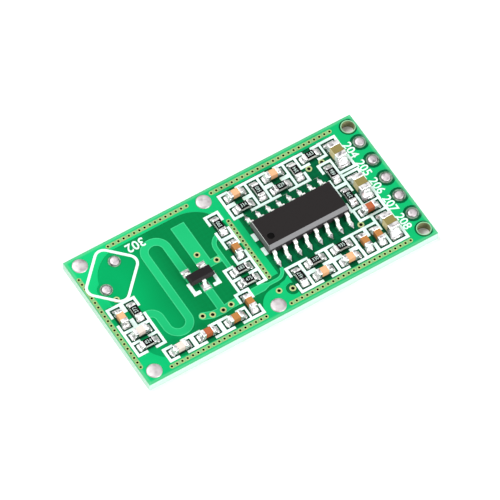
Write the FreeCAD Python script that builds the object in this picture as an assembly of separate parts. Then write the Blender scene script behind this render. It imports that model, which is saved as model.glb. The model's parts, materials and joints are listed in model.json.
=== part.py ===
import FreeCAD, Part
import math
import os
from collections import namedtuple

# Microwave radar sensor module: a single circuit board, millimetres, +Z up.
# The origin is under the middle of the board, on the surface that it lies on.
# +X runs along the board from the antenna end to the pin end.

# Layers of the board
LAMINATE_THICKNESS = 1.05
COPPER_THICKNESS = 0.05
PAD_THICKNESS = 0.06
LEGEND_THICKNESS = 0.08
COPPER_PULLBACK = 0.15

# Stations along the board, each measured from the one before, from the left edge to the right edge
EDGE_TO_CLUSTER = 1.65
CLUSTER_PITCH = 1.68
CLUSTER_TO_ANTENNA = 1.835
ANTENNA_LEG_PITCH = 2.53
TRANSISTOR_TO_STUB = 1.31
STUB_TO_BIAS = 1.975
BIAS_TO_MIDDLE_CHIPS = 1.69
MIDDLE_CHIPS_TO_VIAS = 1.175
VIAS_TO_PACKAGE = 6.125
PACKAGE_TO_SIDE_CHIPS = 6.175
SIDE_TO_LARGE_CHIPS = 1.675
LARGE_CHIPS_TO_HEADER = 2.9
HEADER_TO_EDGE = 1.0

# Stations across the board, from the near edge to the far edge
EDGE_TO_NEAR_ROW = 2.06
ROW_PITCH = 1.66
NEAR_ROW_TO_PACKAGE = 4.83
PACKAGE_TO_FAR_ROW = 4.53
FAR_ROW_TO_EDGE = 2.26

# Fixing holes, and the same holes filled with solder
FIXING_HOLE_RADIUS = 0.74
FIXING_EDGE_GAP = 1.23
FIXING_MOAT = 0.26
LEFT_FIXING_GAP = 1.33
MIDDLE_FIXING_OFFSET = -0.965
GROUND_SOLDER_RISE = 0.16
GROUND_SOLDER_SPREAD = 0.11

# Pin holes and light sensor holes, plated and filled with solder
HEADER_COUNT = 5
HEADER_PITCH = 2.54
PIN_HOLE_RADIUS = 0.55
HEADER_RING_WIDTH = 0.17
SENSOR_RING_WIDTH = 0.14
RING_MOAT = 0.3
PIN_SOLDER_RISE = 0.14
CROWN_SHOULDER = 0.75
CROWN_TIP = 0.35
ROUND_SIDES = 16
SENSOR_CENTRE = (3.42, 4.635)
SENSOR_HOLE_SPAN = 3.53

# Stitching vias
VIA_RADIUS = 0.15
VIA_SIDES = 4
VIA_PITCH = 0.635
MIDDLE_VIA_PITCH = 0.561
VIA_ROW_GAP = 0.73
LEFT_VIA_GAP = 0.35
LONE_VIA_LAND_RADIUS = 0.36

# Copper artwork
ANTENNA_WIDTH = 0.92
ANTENNA_LOW_BEND = 3.6
ANTENNA_HIGH_BEND = 4.56
ANTENNA_ENTRY_RADIUS = 1.02
ANTENNA_ENTRY_DROP = 1.27
STUB_WIDTH = 1.62
STUB_END = 6.23
STUB_TAB_WIDTH = 0.83
BIAS_WIDTH = 0.52
BIAS_BEND_RADIUS = 1.34
BIAS_BEND_HEIGHT = 1.74
EMITTER_WIDTH = 0.91
VIA_STRIP_WIDTH = 0.88
OUTPUT_WIDE = 0.92
OUTPUT_NARROW = 0.4
OUTPUT_BEND_RADIUS = 1.12
OUTPUT_BEND_TO_TOES = 0.49
OUTPUT_MOAT = 0.15
FIELD_CORNER_RADIUS = 4.0
FIELD_TO_LEFT_EDGE = 1.7
FIELD_TO_VIAS = 0.365
FIELD_FAR_MARGIN = 1.25
FIELD_NEAR_MARGIN = 1.08
TONGUE_TO_VIAS = 1.02
TONGUE_CORNER_RADIUS = 0.7
PATCH_HALF_WIDTH = 1.56
PATCH_DEPTH = 3.25
PATCH_CORNER_RADIUS = 2.1
RIGHT_COPPER_WIDTH = 2.82

# Printed frames round the chip parts
LINE_WIDTH = 0.3
FRAME_CLEARANCE = 0.185
FRAME_NOTCH = 0.95
OUTLINE_LENGTH = 5.6
OUTLINE_WIDTH = 4.48
OUTLINE_CORNER = 0.95

# Columns of chip parts, measured along the board
FAR_COLUMN_PITCH = 2.31
FAR_COLUMNS_TO_PACKAGE = 3.88
NEAR_COLUMNS_TO_PACKAGE = 3.4
NEAR_COLUMN_PITCH = 2.37
NEAR_PAIR_STEP = 3.23
NEAR_UPRIGHT_PITCH = 1.6
LEFT_COLUMN_PITCH = 3.345

# Small chip parts
CHIP_LENGTH = 1.6
CHIP_WIDTH = 0.8
RESISTOR_HEIGHT = 0.45
RESISTOR_COAT = 0.05
CAPACITOR_HEIGHT = 0.8
CHIP_CAP_LENGTH = 0.3
CHIP_PAD_REACH = 0.445
CHIP_PAD_OVERLAP = 0.35
CHIP_PAD_SIDE = 0.01
CAP_SKIN = 0.02
WEDGE_HOLLOW = 0.36

# Large chip parts
LARGE_LENGTH = 2.0
LARGE_WIDTH = 1.25
LARGE_HEIGHT = 1.25
LARGE_CAP_LENGTH = 0.5
LARGE_PAD_REACH = 0.735

# Sixteen lead package
PACKAGE_END_MARGIN = 0.46
PACKAGE_WIDTH = 3.95
PACKAGE_HEIGHT = 1.45
PACKAGE_STANDOFF = 0.12
PACKAGE_DRAFT = 0.13
PACKAGE_CHAMFER = 0.33
PACKAGE_SHIFT = 0.09
PACKAGE_LEADS_PER_SIDE = 8
PACKAGE_LEAD_PITCH = 1.27
PACKAGE_LEAD_WIDTH = 0.42
PACKAGE_LEAD_THICKNESS = 0.2
PACKAGE_LEAD_SPAN = 6.1
PACKAGE_FOOT = 0.62
PACKAGE_SHOULDER = 0.3
PACKAGE_PAD_REACH = 0.58
PACKAGE_PAD_WIDTH = 0.62
DIMPLE_RADIUS = 0.42
DIMPLE_DEPTH = 0.06
DIMPLE_INSET = 0.96
DIMPLE_OFFSET = -0.62
INDEX_MARK_GAP = 0.17
INDEX_MARK_WIDTH = 0.45
INDEX_MARK_LENGTH = 0.96
INDEX_MARK_OFFSETS = (0.33, -1.6)
CORNER_MARK_REACH = 1.66
CORNER_MARK_WIDTH = 0.4
CORNER_MARK_FOOT = 0.88
CORNER_MARK_DROP = 1.6
CORNER_MARK_RISE = 0.03

# Three lead transistor
TRANSISTOR_LENGTH = 2.9
TRANSISTOR_WIDTH = 1.3
TRANSISTOR_HEIGHT = 0.95
TRANSISTOR_STANDOFF = 0.08
TRANSISTOR_DRAFT = 0.18
TRANSISTOR_LEAD_PITCH = 1.9
TRANSISTOR_LEAD_WIDTH = 0.42
TRANSISTOR_LEAD_THICKNESS = 0.13
TRANSISTOR_LEAD_SPAN = 2.45
TRANSISTOR_FOOT = 0.35
TRANSISTOR_SHOULDER = 0.12
TRANSISTOR_PAD_REACH = 0.4
TRANSISTOR_PAD_WIDTH = 0.9
TRANSISTOR_DROP = 0.4

# Derived stations, measured from the left edge and from the near edge
cluster_station = EDGE_TO_CLUSTER
antenna_station = cluster_station + CLUSTER_PITCH + CLUSTER_TO_ANTENNA
transistor_station = antenna_station + 2 * ANTENNA_LEG_PITCH + TRANSISTOR_LEAD_PITCH / 2
stub_station = transistor_station + TRANSISTOR_TO_STUB
bias_station = stub_station + STUB_TO_BIAS
middle_station = bias_station + BIAS_TO_MIDDLE_CHIPS
middle_via_station = middle_station + MIDDLE_CHIPS_TO_VIAS
package_station = middle_via_station + VIAS_TO_PACKAGE
side_station = package_station + PACKAGE_TO_SIDE_CHIPS
large_station = side_station + SIDE_TO_LARGE_CHIPS
header_station = large_station + LARGE_CHIPS_TO_HEADER
board_length = header_station + HEADER_TO_EDGE
near_row_station = EDGE_TO_NEAR_ROW
package_row_station = near_row_station + ROW_PITCH + NEAR_ROW_TO_PACKAGE
far_row_station = package_row_station + PACKAGE_TO_FAR_ROW
board_width = far_row_station + ROW_PITCH + FAR_ROW_TO_EDGE

# Derived places in the part's frame
left_edge = -board_length / 2
right_edge = board_length / 2
near_edge = -board_width / 2
far_edge = board_width / 2
cluster_x = left_edge + cluster_station
antenna_x = left_edge + antenna_station
transistor_x = left_edge + transistor_station
stub_x = left_edge + stub_station
bias_x = left_edge + bias_station
middle_x = left_edge + middle_station
middle_via_x = left_edge + middle_via_station
package_x = left_edge + package_station
side_x = left_edge + side_station
large_x = left_edge + large_station
header_x = left_edge + header_station
package_y = near_edge + package_row_station
near_row_y = near_edge + near_row_station
second_near_row_y = near_row_y + ROW_PITCH
far_row_y = near_edge + far_row_station
second_far_row_y = far_row_y + ROW_PITCH
near_upright_y = near_row_y + ROW_PITCH / 2
far_upright_y = far_row_y + ROW_PITCH / 2
transistor_y = package_y - TRANSISTOR_DROP

# Derived sizes of the package
package_lead_row = PACKAGE_LEAD_PITCH * (PACKAGE_LEADS_PER_SIDE - 1)
package_length = package_lead_row + 2 * PACKAGE_END_MARGIN
package_body_x = package_x + PACKAGE_SHIFT

# Derived heights
copper_z = LAMINATE_THICKNESS
seat_z = LAMINATE_THICKNESS + PAD_THICKNESS

ChipSize = namedtuple("ChipSize", "length width height cap pad_reach coat")
Chip = namedtuple("Chip", "name size x y upright")
Package = namedtuple(
    "Package", "length width height standoff draft shoulder foot span lead_width lead_thickness")

resistor = ChipSize(
    CHIP_LENGTH, CHIP_WIDTH, RESISTOR_HEIGHT, CHIP_CAP_LENGTH, CHIP_PAD_REACH, RESISTOR_COAT)
capacitor = ChipSize(CHIP_LENGTH, CHIP_WIDTH, CAPACITOR_HEIGHT, CHIP_CAP_LENGTH, CHIP_PAD_REACH, 0)
large_capacitor = ChipSize(LARGE_LENGTH, LARGE_WIDTH, LARGE_HEIGHT, LARGE_CAP_LENGTH, LARGE_PAD_REACH, 0)
package = Package(
    package_length, PACKAGE_WIDTH, PACKAGE_HEIGHT, PACKAGE_STANDOFF, PACKAGE_DRAFT,
    PACKAGE_SHOULDER, PACKAGE_FOOT, PACKAGE_LEAD_SPAN, PACKAGE_LEAD_WIDTH, PACKAGE_LEAD_THICKNESS)
transistor = Package(
    TRANSISTOR_LENGTH, TRANSISTOR_WIDTH, TRANSISTOR_HEIGHT, TRANSISTOR_STANDOFF, TRANSISTOR_DRAFT,
    TRANSISTOR_SHOULDER, TRANSISTOR_FOOT, TRANSISTOR_LEAD_SPAN, TRANSISTOR_LEAD_WIDTH,
    TRANSISTOR_LEAD_THICKNESS)


def chip_places():
    """Every chip part with its footprint's centre. An upright one has its length across the board."""
    near_left_x = antenna_x - 0.2
    output_x = bias_x - 0.55
    near_right_x = package_x - NEAR_COLUMNS_TO_PACKAGE
    near_second_x = near_right_x + NEAR_COLUMN_PITCH
    near_third_x = near_second_x + NEAR_PAIR_STEP
    near_fourth_x = near_third_x + NEAR_COLUMN_PITCH
    far_right_x = package_x - FAR_COLUMNS_TO_PACKAGE
    resistors = [
        (cluster_x + CLUSTER_PITCH, package_y - 0.4, True),
        (cluster_x + CLUSTER_PITCH / 2, package_y - 4.27, False),
        (middle_x, package_y + 3.85, True),
        (middle_x - 0.85, package_y - 1.76, False),
        (middle_x - 0.85, package_y - 3.29, False),
        (far_right_x, far_row_y, False),
        (far_right_x + FAR_COLUMN_PITCH, far_upright_y, True),
        (far_right_x + 2 * FAR_COLUMN_PITCH, far_row_y, False),
        (far_right_x + 3 * FAR_COLUMN_PITCH, far_upright_y, True),
        (far_right_x + 4 * FAR_COLUMN_PITCH, second_far_row_y, False),
        (side_x, package_y + 3.12, True),
        (side_x, package_y - 0.13, True),
        (near_right_x, near_upright_y, True),
        (near_second_x, second_near_row_y, False),
        (near_third_x, second_near_row_y, False),
    ]
    capacitors = [
        (cluster_x, package_y - 0.4, True),
        (cluster_x + CLUSTER_PITCH / 2, package_y - 2.77, False),
        (near_left_x, near_row_y, False),
        (near_left_x + LEFT_COLUMN_PITCH, near_row_y, False),
        (near_left_x + 2 * LEFT_COLUMN_PITCH, near_row_y, False),
        (output_x, near_upright_y, True),
        (middle_x, package_y + 0.59, True),
        (far_right_x, second_far_row_y, False),
        (far_right_x + 2 * FAR_COLUMN_PITCH, second_far_row_y, False),
        (side_x + 1.02, package_y - 2.41, False),
        (near_second_x, near_row_y, False),
        (near_third_x, near_row_y, False),
        (near_fourth_x, near_upright_y, True),
        (near_fourth_x + NEAR_UPRIGHT_PITCH, near_upright_y, True),
    ]
    large_capacitors = [
        (large_x, package_y + 4.92, True),
        (large_x, package_y + 0.32, True),
        (large_x, package_y - 5.19, True),
    ]
    chips = []
    for kind, size, places in (
        ("resistor", resistor, resistors),
        ("capacitor", capacitor, capacitors),
        ("supply_capacitor", large_capacitor, large_capacitors),
    ):
        for number, (x, y, upright) in enumerate(places, start=1):
            chips.append(Chip(f"{kind}_{number}", size, x, y, upright))
    return chips


def box(x0, x1, y0, y1, z0, z1):
    """A block between two corners."""
    return Part.makeBox(x1 - x0, y1 - y0, z1 - z0, FreeCAD.Vector(x0, y0, z0))


def centred_box(x, y, length, width, z0, z1):
    """A block with its middle at a place."""
    return box(x - length / 2, x + length / 2, y - width / 2, y + width / 2, z0, z1)


def cylinder(x, y, radius, z0, z1):
    """An upright cylinder."""
    return Part.makeCylinder(radius, z1 - z0, FreeCAD.Vector(x, y, z0))


def prism(points, z0, z1):
    """A straight-sided plate with a polygon for its outline."""
    corners = [FreeCAD.Vector(x, y, z0) for x, y in points]
    face = Part.Face(Part.makePolygon(corners + corners[:1]))
    return face.extrude(FreeCAD.Vector(0, 0, z1 - z0))


def regular_prism(x, y, radius, sides, z0, z1):
    """An upright prism with equal sides, its corners on a circle."""
    turn = 2 * math.pi / sides
    corners = [
        (x + radius * math.cos(turn * side), y + radius * math.sin(turn * side))
        for side in range(sides)
    ]
    return prism(corners, z0, z1)


def disc(x, y, radius, z0, z1):
    """A round plate with flats: what repeats many times gets few faces."""
    return regular_prism(x, y, radius, ROUND_SIDES, z0, z1)


def bend(x, y, radius, width, start, sweep, z0, z1):
    """A curved run of trace about a centre, from one angle through a sweep, in degrees."""
    base = FreeCAD.Vector(0, 0, 0)
    up = FreeCAD.Vector(0, 0, 1)
    outer = Part.makeCylinder(radius + width / 2, z1 - z0, base, up, sweep)
    if radius > width / 2:
        outer = outer.cut(Part.makeCylinder(radius - width / 2, z1 - z0))
    outer.rotate(base, up, start)
    outer.translate(FreeCAD.Vector(x, y, z0))
    return outer


def rounded_box(x0, x1, y0, y1, z0, z1, radii):
    """A block with its upright edges rounded, radii given by corner as (sign of x, sign of y)."""
    block = box(x0, x1, y0, y1, z0, z1)
    for (side_x_sign, side_y_sign), radius in radii.items():
        corner_x = x1 if side_x_sign > 0 else x0
        corner_y = y1 if side_y_sign > 0 else y0
        edges = [
            edge for edge in block.Edges
            if all(
                abs(vertex.X - corner_x) < 1e-6 and abs(vertex.Y - corner_y) < 1e-6
                for vertex in edge.Vertexes)
        ]
        block = block.makeFillet(radius, edges)
    return block


def fuse(shapes):
    """One shape from several, with the seams between flush faces removed."""
    joined = shapes[0].multiFuse(shapes[1:]) if len(shapes) > 1 else shapes[0]
    return joined.removeSplitter()


def copper_box(x0, x1, y0, y1):
    return box(x0, x1, y0, y1, copper_z, copper_z + COPPER_THICKNESS)


def copper_disc(x, y, radius):
    return disc(x, y, radius, copper_z, copper_z + COPPER_THICKNESS)


def copper_bend(x, y, radius, width, start, sweep):
    return bend(x, y, radius, width, start, sweep, copper_z, copper_z + COPPER_THICKNESS)


def fixing_places():
    """Centres of the six large holes: two open ones at the pin end, then four filled with solder."""
    far_y = far_edge - FIXING_EDGE_GAP
    near_y = near_edge + FIXING_EDGE_GAP
    left_x = left_edge + LEFT_FIXING_GAP
    middle_fixing_x = middle_via_x + MIDDLE_FIXING_OFFSET
    opened = [(header_x, far_y), (header_x, near_y)]
    filled = [(left_x, far_y), (left_x, near_y), (middle_fixing_x, far_y), (middle_fixing_x, near_y)]
    return opened, filled


def header_places():
    """Centres of the pin holes, from the far edge to the near edge."""
    first = HEADER_PITCH * (HEADER_COUNT - 1) / 2
    return [(header_x, first - HEADER_PITCH * index) for index in range(HEADER_COUNT)]


def sensor_places():
    """Centres of the light sensor's two holes, on a slant of 45 degrees."""
    reach = SENSOR_HOLE_SPAN / 2 * math.sqrt(0.5)
    x = left_edge + SENSOR_CENTRE[0]
    y = package_y + SENSOR_CENTRE[1]
    return [(x + reach, y + reach), (x - reach, y - reach)]


def via_run(x, y, step_x, step_y, count):
    return [(x + step_x * index, y + step_y * index) for index in range(count)]


def edge_vias():
    """Vias that stitch the ground copper round the board and down its middle."""
    far_y = far_edge - VIA_ROW_GAP
    near_y = near_edge + VIA_ROW_GAP
    left_x = left_edge + LEFT_VIA_GAP
    first_right_x = middle_via_x + 0.27
    return (
        via_run(antenna_x - 0.135, far_y, VIA_PITCH, 0, 16)
        + via_run(first_right_x, far_y, VIA_PITCH, 0, 24)
        + via_run(antenna_x - 2.04, near_y, VIA_PITCH, 0, 19)
        + via_run(first_right_x + 0.035, near_y, VIA_PITCH, 0, 24)
        + via_run(left_x, package_y - 6.24, 0, VIA_PITCH, 20)
        + via_run(middle_via_x, package_y - 3.96, 0, MIDDLE_VIA_PITCH, 15)
        + [(middle_via_x, package_y - 5.89)]
    )


def strip_vias():
    """Four vias along the strip under the transistor."""
    return [
        (transistor_x - 2.19, package_y - 4.39),
        (transistor_x - 1.21, package_y - 4.77),
        (transistor_x + 0.02, package_y - 4.87),
        (transistor_x + 1.06, package_y - 4.72),
    ]


def stub_vias():
    """One via in the stub and one in its tab."""
    return [(stub_x - 0.11, package_y + 2.13), (bias_x - 0.65, package_y + 0.57)]


def lone_vias():
    """Vias with a land of their own."""
    return [
        (cluster_x + 0.8, package_y + 1.85),
        (package_x + 4.45, far_row_y + 0.44),
        (package_x + 6.03, far_row_y + 0.44),
        (package_x + 5.4, package_y - 3.56),
        (package_x - 4.75, near_row_y + 0.12),
    ]


def via_drill(places):
    """The mouths of a set of vias, each a narrow prism through the copper."""
    return Part.makeCompound([
        regular_prism(x, y, VIA_RADIUS, VIA_SIDES, copper_z - 1, seat_z + 1) for x, y in places])


def circuit_board():
    """The laminate, drilled for the fixings, the pins and the light sensor."""
    board = box(left_edge, right_edge, near_edge, far_edge, 0, LAMINATE_THICKNESS)
    opened, filled = fixing_places()
    drills = [cylinder(x, y, FIXING_HOLE_RADIUS, -1, seat_z) for x, y in opened]
    drills += [disc(x, y, FIXING_HOLE_RADIUS, -1, seat_z) for x, y in filled]
    drills += [disc(x, y, PIN_HOLE_RADIUS, -1, seat_z) for x, y in header_places() + sensor_places()]
    return board.cut(Part.makeCompound(drills))


def antenna_field():
    """The bare field round the antenna, with large corners, that the ground copper leaves open."""
    z0 = copper_z
    z1 = copper_z + COPPER_THICKNESS
    x0 = left_edge + FIELD_TO_LEFT_EDGE
    x1 = middle_via_x - FIELD_TO_VIAS
    y0 = near_edge + FIELD_NEAR_MARGIN
    y1 = far_edge - FIELD_FAR_MARGIN
    radii = {(-1, 1): FIELD_CORNER_RADIUS, (1, 1): FIELD_CORNER_RADIUS, (-1, -1): FIELD_CORNER_RADIUS}
    return rounded_box(x0, x1, y0, y1, z0, z1, radii)


def cluster_field():
    """The bare field under the four chip parts at the left end."""
    return copper_box(cluster_x - 0.95, antenna_x - 0.9, package_y - 5.2, package_y + 1.42)


def package_field():
    """The bare field under the sixteen lead package and the parts round it."""
    tongue_x = middle_via_x + TONGUE_TO_VIAS
    x1 = right_edge - RIGHT_COPPER_WIDTH
    y0 = near_edge + FIELD_NEAR_MARGIN
    y1 = far_edge - FIELD_FAR_MARGIN
    wide = copper_box(tongue_x, x1, y0, y1)
    above_tongue = copper_box(tongue_x - 0.55, tongue_x, package_y + 3.6, y1)
    return fuse([wide, above_tongue])


def output_channel():
    """The bare channel under the middle vias, which the output trace passes through."""
    y1 = package_y - 4.04
    x0 = middle_via_x - FIELD_TO_VIAS
    x1 = middle_via_x + TONGUE_TO_VIAS
    return copper_box(x0, x1 + 0.01, package_y - 5.7, y1)


def ground_patch():
    """The ground copper round the near middle solder point, with one large corner."""
    _, filled = fixing_places()
    x, y = filled[3]
    x0 = x - PATCH_HALF_WIDTH
    x1 = package_x - 4.4
    radii = {(-1, 1): PATCH_CORNER_RADIUS}
    z1 = copper_z + COPPER_THICKNESS
    patch = rounded_box(x0, x1, near_edge + COPPER_PULLBACK, near_edge + PATCH_DEPTH, copper_z, z1, radii)
    shoulder = copper_box(x1 - 1.2, x1, near_edge + PATCH_DEPTH - 0.1, near_edge + PATCH_DEPTH + 0.75)
    bend_x, bend_y = output_bend_centre()
    clearance = copper_disc(bend_x, bend_y, OUTPUT_BEND_RADIUS + OUTPUT_NARROW / 2 + 0.35)
    return fuse([patch, shoulder]).cut(clearance)


def ground_copper():
    """The ground copper: a border, a tongue down the middle and a patch, all in one piece."""
    sheet = copper_box(
        left_edge + COPPER_PULLBACK, right_edge - COPPER_PULLBACK,
        near_edge + COPPER_PULLBACK, far_edge - COPPER_PULLBACK)
    sheet = sheet.cut(fuse([antenna_field(), cluster_field()]))
    sheet = sheet.cut(package_field()).cut(output_channel())
    sheet = sheet.fuse(ground_patch()).cut(output_trace(OUTPUT_MOAT))
    opened, filled = fixing_places()
    moats = [copper_disc(x, y, FIXING_HOLE_RADIUS + FIXING_MOAT) for x, y in opened]
    moats += [copper_disc(x, y, FIXING_HOLE_RADIUS) for x, y in filled]
    header_ring = PIN_HOLE_RADIUS + HEADER_RING_WIDTH
    moats += [copper_disc(x, y, header_ring + RING_MOAT) for x, y in header_places()]
    sensor_ring = PIN_HOLE_RADIUS + SENSOR_RING_WIDTH
    moats += [copper_disc(x, y, sensor_ring + RING_MOAT) for x, y in sensor_places()]
    x, y = lone_vias()[-1]
    moats.append(copper_disc(x, y, 2 * LONE_VIA_LAND_RADIUS))
    sheet = sheet.cut(Part.makeCompound(moats))
    return sheet.removeSplitter().cut(via_drill(edge_vias()))


def antenna_trace():
    """The folded antenna: an entry bend, then three legs joined by two half turns."""
    entry_y = package_y - ANTENNA_ENTRY_DROP
    low_y = package_y - ANTENNA_LOW_BEND
    high_y = package_y + ANTENNA_HIGH_BEND
    half = ANTENNA_WIDTH / 2
    leg_1 = antenna_x
    leg_2 = antenna_x + ANTENNA_LEG_PITCH
    leg_3 = antenna_x + 2 * ANTENNA_LEG_PITCH
    turn = ANTENNA_LEG_PITCH / 2
    entry_x = leg_1 - ANTENNA_ENTRY_RADIUS
    entry_centre_y = entry_y - ANTENNA_ENTRY_RADIUS
    pieces = [
        copper_box(cluster_x + CLUSTER_PITCH, entry_x, entry_y - half, entry_y + half),
        copper_bend(entry_x, entry_centre_y, ANTENNA_ENTRY_RADIUS, ANTENNA_WIDTH, 0, 90),
        copper_box(leg_1 - half, leg_1 + half, low_y, entry_centre_y),
        copper_bend(leg_1 + turn, low_y, turn, ANTENNA_WIDTH, 180, 180),
        copper_box(leg_2 - half, leg_2 + half, low_y, high_y),
        copper_bend(leg_2 + turn, high_y, turn, ANTENNA_WIDTH, 0, 180),
        copper_box(leg_3 - half, leg_3 + half, transistor_y, high_y),
    ]
    return fuse(pieces)


def resonator_stub():
    """The wide stub on the transistor's second lead, with the tab that reaches the bias trace."""
    tab_y = package_y + 0.16
    half = STUB_WIDTH / 2
    stub = copper_box(stub_x - half, stub_x + half, tab_y, package_y + STUB_END)
    tab = copper_box(stub_x + half, bias_x - BIAS_WIDTH / 2, tab_y, tab_y + STUB_TAB_WIDTH)
    return fuse([stub, tab]).cut(via_drill(stub_vias()))


def emitter_strip():
    """The trace from the third lead and the strip of vias that it ends in."""
    half = EMITTER_WIDTH / 2
    places = strip_vias()
    last_x, last_y = places[-1]
    route = places + [(last_x + 1.05, last_y)]
    pieces = [copper_box(transistor_x - half, transistor_x + half, places[2][1], transistor_y)]
    for (x0, y0), (x1, y1) in zip(route, route[1:]):
        pieces.append(copper_run(x0, y0, x1, y1, VIA_STRIP_WIDTH))
        pieces.append(copper_disc(x0, y0, VIA_STRIP_WIDTH / 2))
    return fuse(pieces).cut(via_drill(places))


def copper_run(x0, y0, x1, y1, width):
    """A straight run of trace between two places."""
    length = math.hypot(x1 - x0, y1 - y0)
    run = copper_box(0, length, -width / 2, width / 2)
    run.rotate(FreeCAD.Vector(0, 0, 0), FreeCAD.Vector(0, 0, 1), math.degrees(math.atan2(y1 - y0, x1 - x0)))
    run.translate(FreeCAD.Vector(x0, y0, 0))
    return run


def bias_trace():
    """The thin trace that bends from the middle chips down past the tab."""
    bend_y = package_y + BIAS_BEND_HEIGHT
    half = BIAS_WIDTH / 2
    straight = copper_box(bias_x - half, bias_x + half, package_y - 1.76, bend_y)
    turn = copper_bend(bias_x + BIAS_BEND_RADIUS, bend_y, BIAS_BEND_RADIUS, BIAS_WIDTH, 90, 90)
    return fuse([straight, turn])


def output_bend_centre():
    """Centre of the output trace's quarter turn into the first lead of the package."""
    first_pad_x = package_x - package_lead_row / 2
    return first_pad_x - OUTPUT_BEND_RADIUS, package_y - PACKAGE_LEAD_SPAN / 2 - OUTPUT_BEND_TO_TOES


def output_trace(margin=0):
    """The output trace: wide at its capacitor, tapered, then narrow round a quarter turn.

    With a margin it is grown all round, as the bare moat that the ground copper keeps from it.
    """
    bend_x, bend_y = output_bend_centre()
    y = bend_y - OUTPUT_BEND_RADIUS
    taper_x0 = middle_via_x - 1.2
    taper_x1 = middle_via_x - 0.45
    wide = OUTPUT_WIDE / 2 + margin
    narrow = OUTPUT_NARROW / 2 + margin
    taper = prism(
        [(taper_x0, y - wide), (taper_x1, y - narrow), (taper_x1, y + narrow), (taper_x0, y + wide)],
        copper_z, copper_z + COPPER_THICKNESS)
    pieces = [
        copper_box(bias_x - 0.55 - margin, taper_x0, y - wide, y + wide),
        taper,
        copper_box(taper_x1, bend_x, y - narrow, y + narrow),
        copper_bend(bend_x, bend_y, OUTPUT_BEND_RADIUS, 2 * narrow, 270, 90),
    ]
    return fuse(pieces)


def turned(shape, chip):
    """A shape modelled along X about the origin, put at a chip's place."""
    placed = shape.copy()
    if chip.upright:
        placed.rotate(FreeCAD.Vector(0, 0, 0), FreeCAD.Vector(0, 0, 1), 90)
    placed.translate(FreeCAD.Vector(chip.x, chip.y, 0))
    return placed


def pad_length(size):
    return size.pad_reach + CHIP_PAD_OVERLAP


def pad_span(size):
    """Distance between the outer ends of a chip's two pads."""
    return size.length + 2 * size.pad_reach


def pad_width(size):
    return size.width + 2 * CHIP_PAD_SIDE


def chip_part(chip):
    """A chip part: its ceramic, a plated cap on each end and, on a resistor, the coat on top."""
    size = chip.size
    half = size.length / 2
    top = seat_z + size.height
    inner = half - size.cap
    side = size.width / 2 - CAP_SKIN
    solids = [box(-inner, inner, -side, side, seat_z + CAP_SKIN, top - CAP_SKIN)]
    for sign in (-1, 1):
        x0, x1 = sorted((sign * inner, sign * half))
        solids.append(box(x0, x1, -size.width / 2, size.width / 2, seat_z, top))
    if size.coat:
        solids.append(box(-inner, inner, -side, side, top - CAP_SKIN, top - CAP_SKIN + size.coat))
    return turned(Part.makeCompound(solids), chip)


def chip_pads(chip):
    size = chip.size
    outer = pad_span(size) / 2
    half = pad_width(size) / 2
    pads = []
    for sign in (-1, 1):
        x0, x1 = sorted((sign * outer, sign * (outer - pad_length(size))))
        pads.append(turned(box(x0, x1, -half, half, copper_z, seat_z), chip))
    return pads


def hollow_wedge(reach, height, width):
    """A solder wedge against a wall at x = 0, with a hollow slope down to x = reach."""
    outline = [(0, 0), (0, height), (reach * WEDGE_HOLLOW, height * WEDGE_HOLLOW), (reach, 0)]
    points = [FreeCAD.Vector(out, -width / 2, up) for out, up in outline]
    return Part.Face(Part.makePolygon(points + points[:1])).extrude(FreeCAD.Vector(0, width, 0))


def chip_fillets(chip):
    """The solder at each end of a chip, from its end cap to the outer end of its pad."""
    size = chip.size
    fillets = []
    for turn in (0, 180):
        wedge = hollow_wedge(size.pad_reach - 0.05, size.height * 0.75, size.width)
        wedge.translate(FreeCAD.Vector(size.length / 2, 0, seat_z))
        wedge.rotate(FreeCAD.Vector(0, 0, 0), FreeCAD.Vector(0, 0, 1), turn)
        fillets.append(turned(wedge, chip))
    return fillets


def package_row_places(middle_x):
    """One place for each lead about the middle of the rows, with the side that it points to."""
    places = []
    for side in (-1, 1):
        for index in range(PACKAGE_LEADS_PER_SIDE):
            places.append((middle_x - package_lead_row / 2 + PACKAGE_LEAD_PITCH * index, package_y, side))
    return places


def package_pad_places():
    return package_row_places(package_x)


def package_lead_places():
    """The leads lie slightly off the middle of their pads, as the body does."""
    return package_row_places(package_body_x)


def transistor_lead_places():
    """Middle of each lead of the transistor: two on the far side and one on the near side."""
    half = TRANSISTOR_LEAD_PITCH / 2
    return [
        (transistor_x - half, transistor_y, 1),
        (transistor_x + half, transistor_y, 1),
        (transistor_x, transistor_y, -1),
    ]


def moulded_body(size, x, y):
    """A moulded body with its widest section at mid height, where the leads come out."""
    bottom = seat_z + size.standoff
    middle = bottom + size.height / 2
    top = bottom + size.height

    def section(z, inset):
        length = size.length / 2 - inset
        width = size.width / 2 - inset
        corners = [(-length, -width), (length, -width), (length, width), (-length, width)]
        points = [FreeCAD.Vector(x + dx, y + dy, z) for dx, dy in corners]
        return Part.makePolygon(points + points[:1])

    lower = Part.makeLoft([section(bottom, size.draft), section(middle, 0)], True, True)
    upper = Part.makeLoft([section(middle, 0), section(top, size.draft)], True, True)
    return lower.fuse(upper).removeSplitter()


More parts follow.
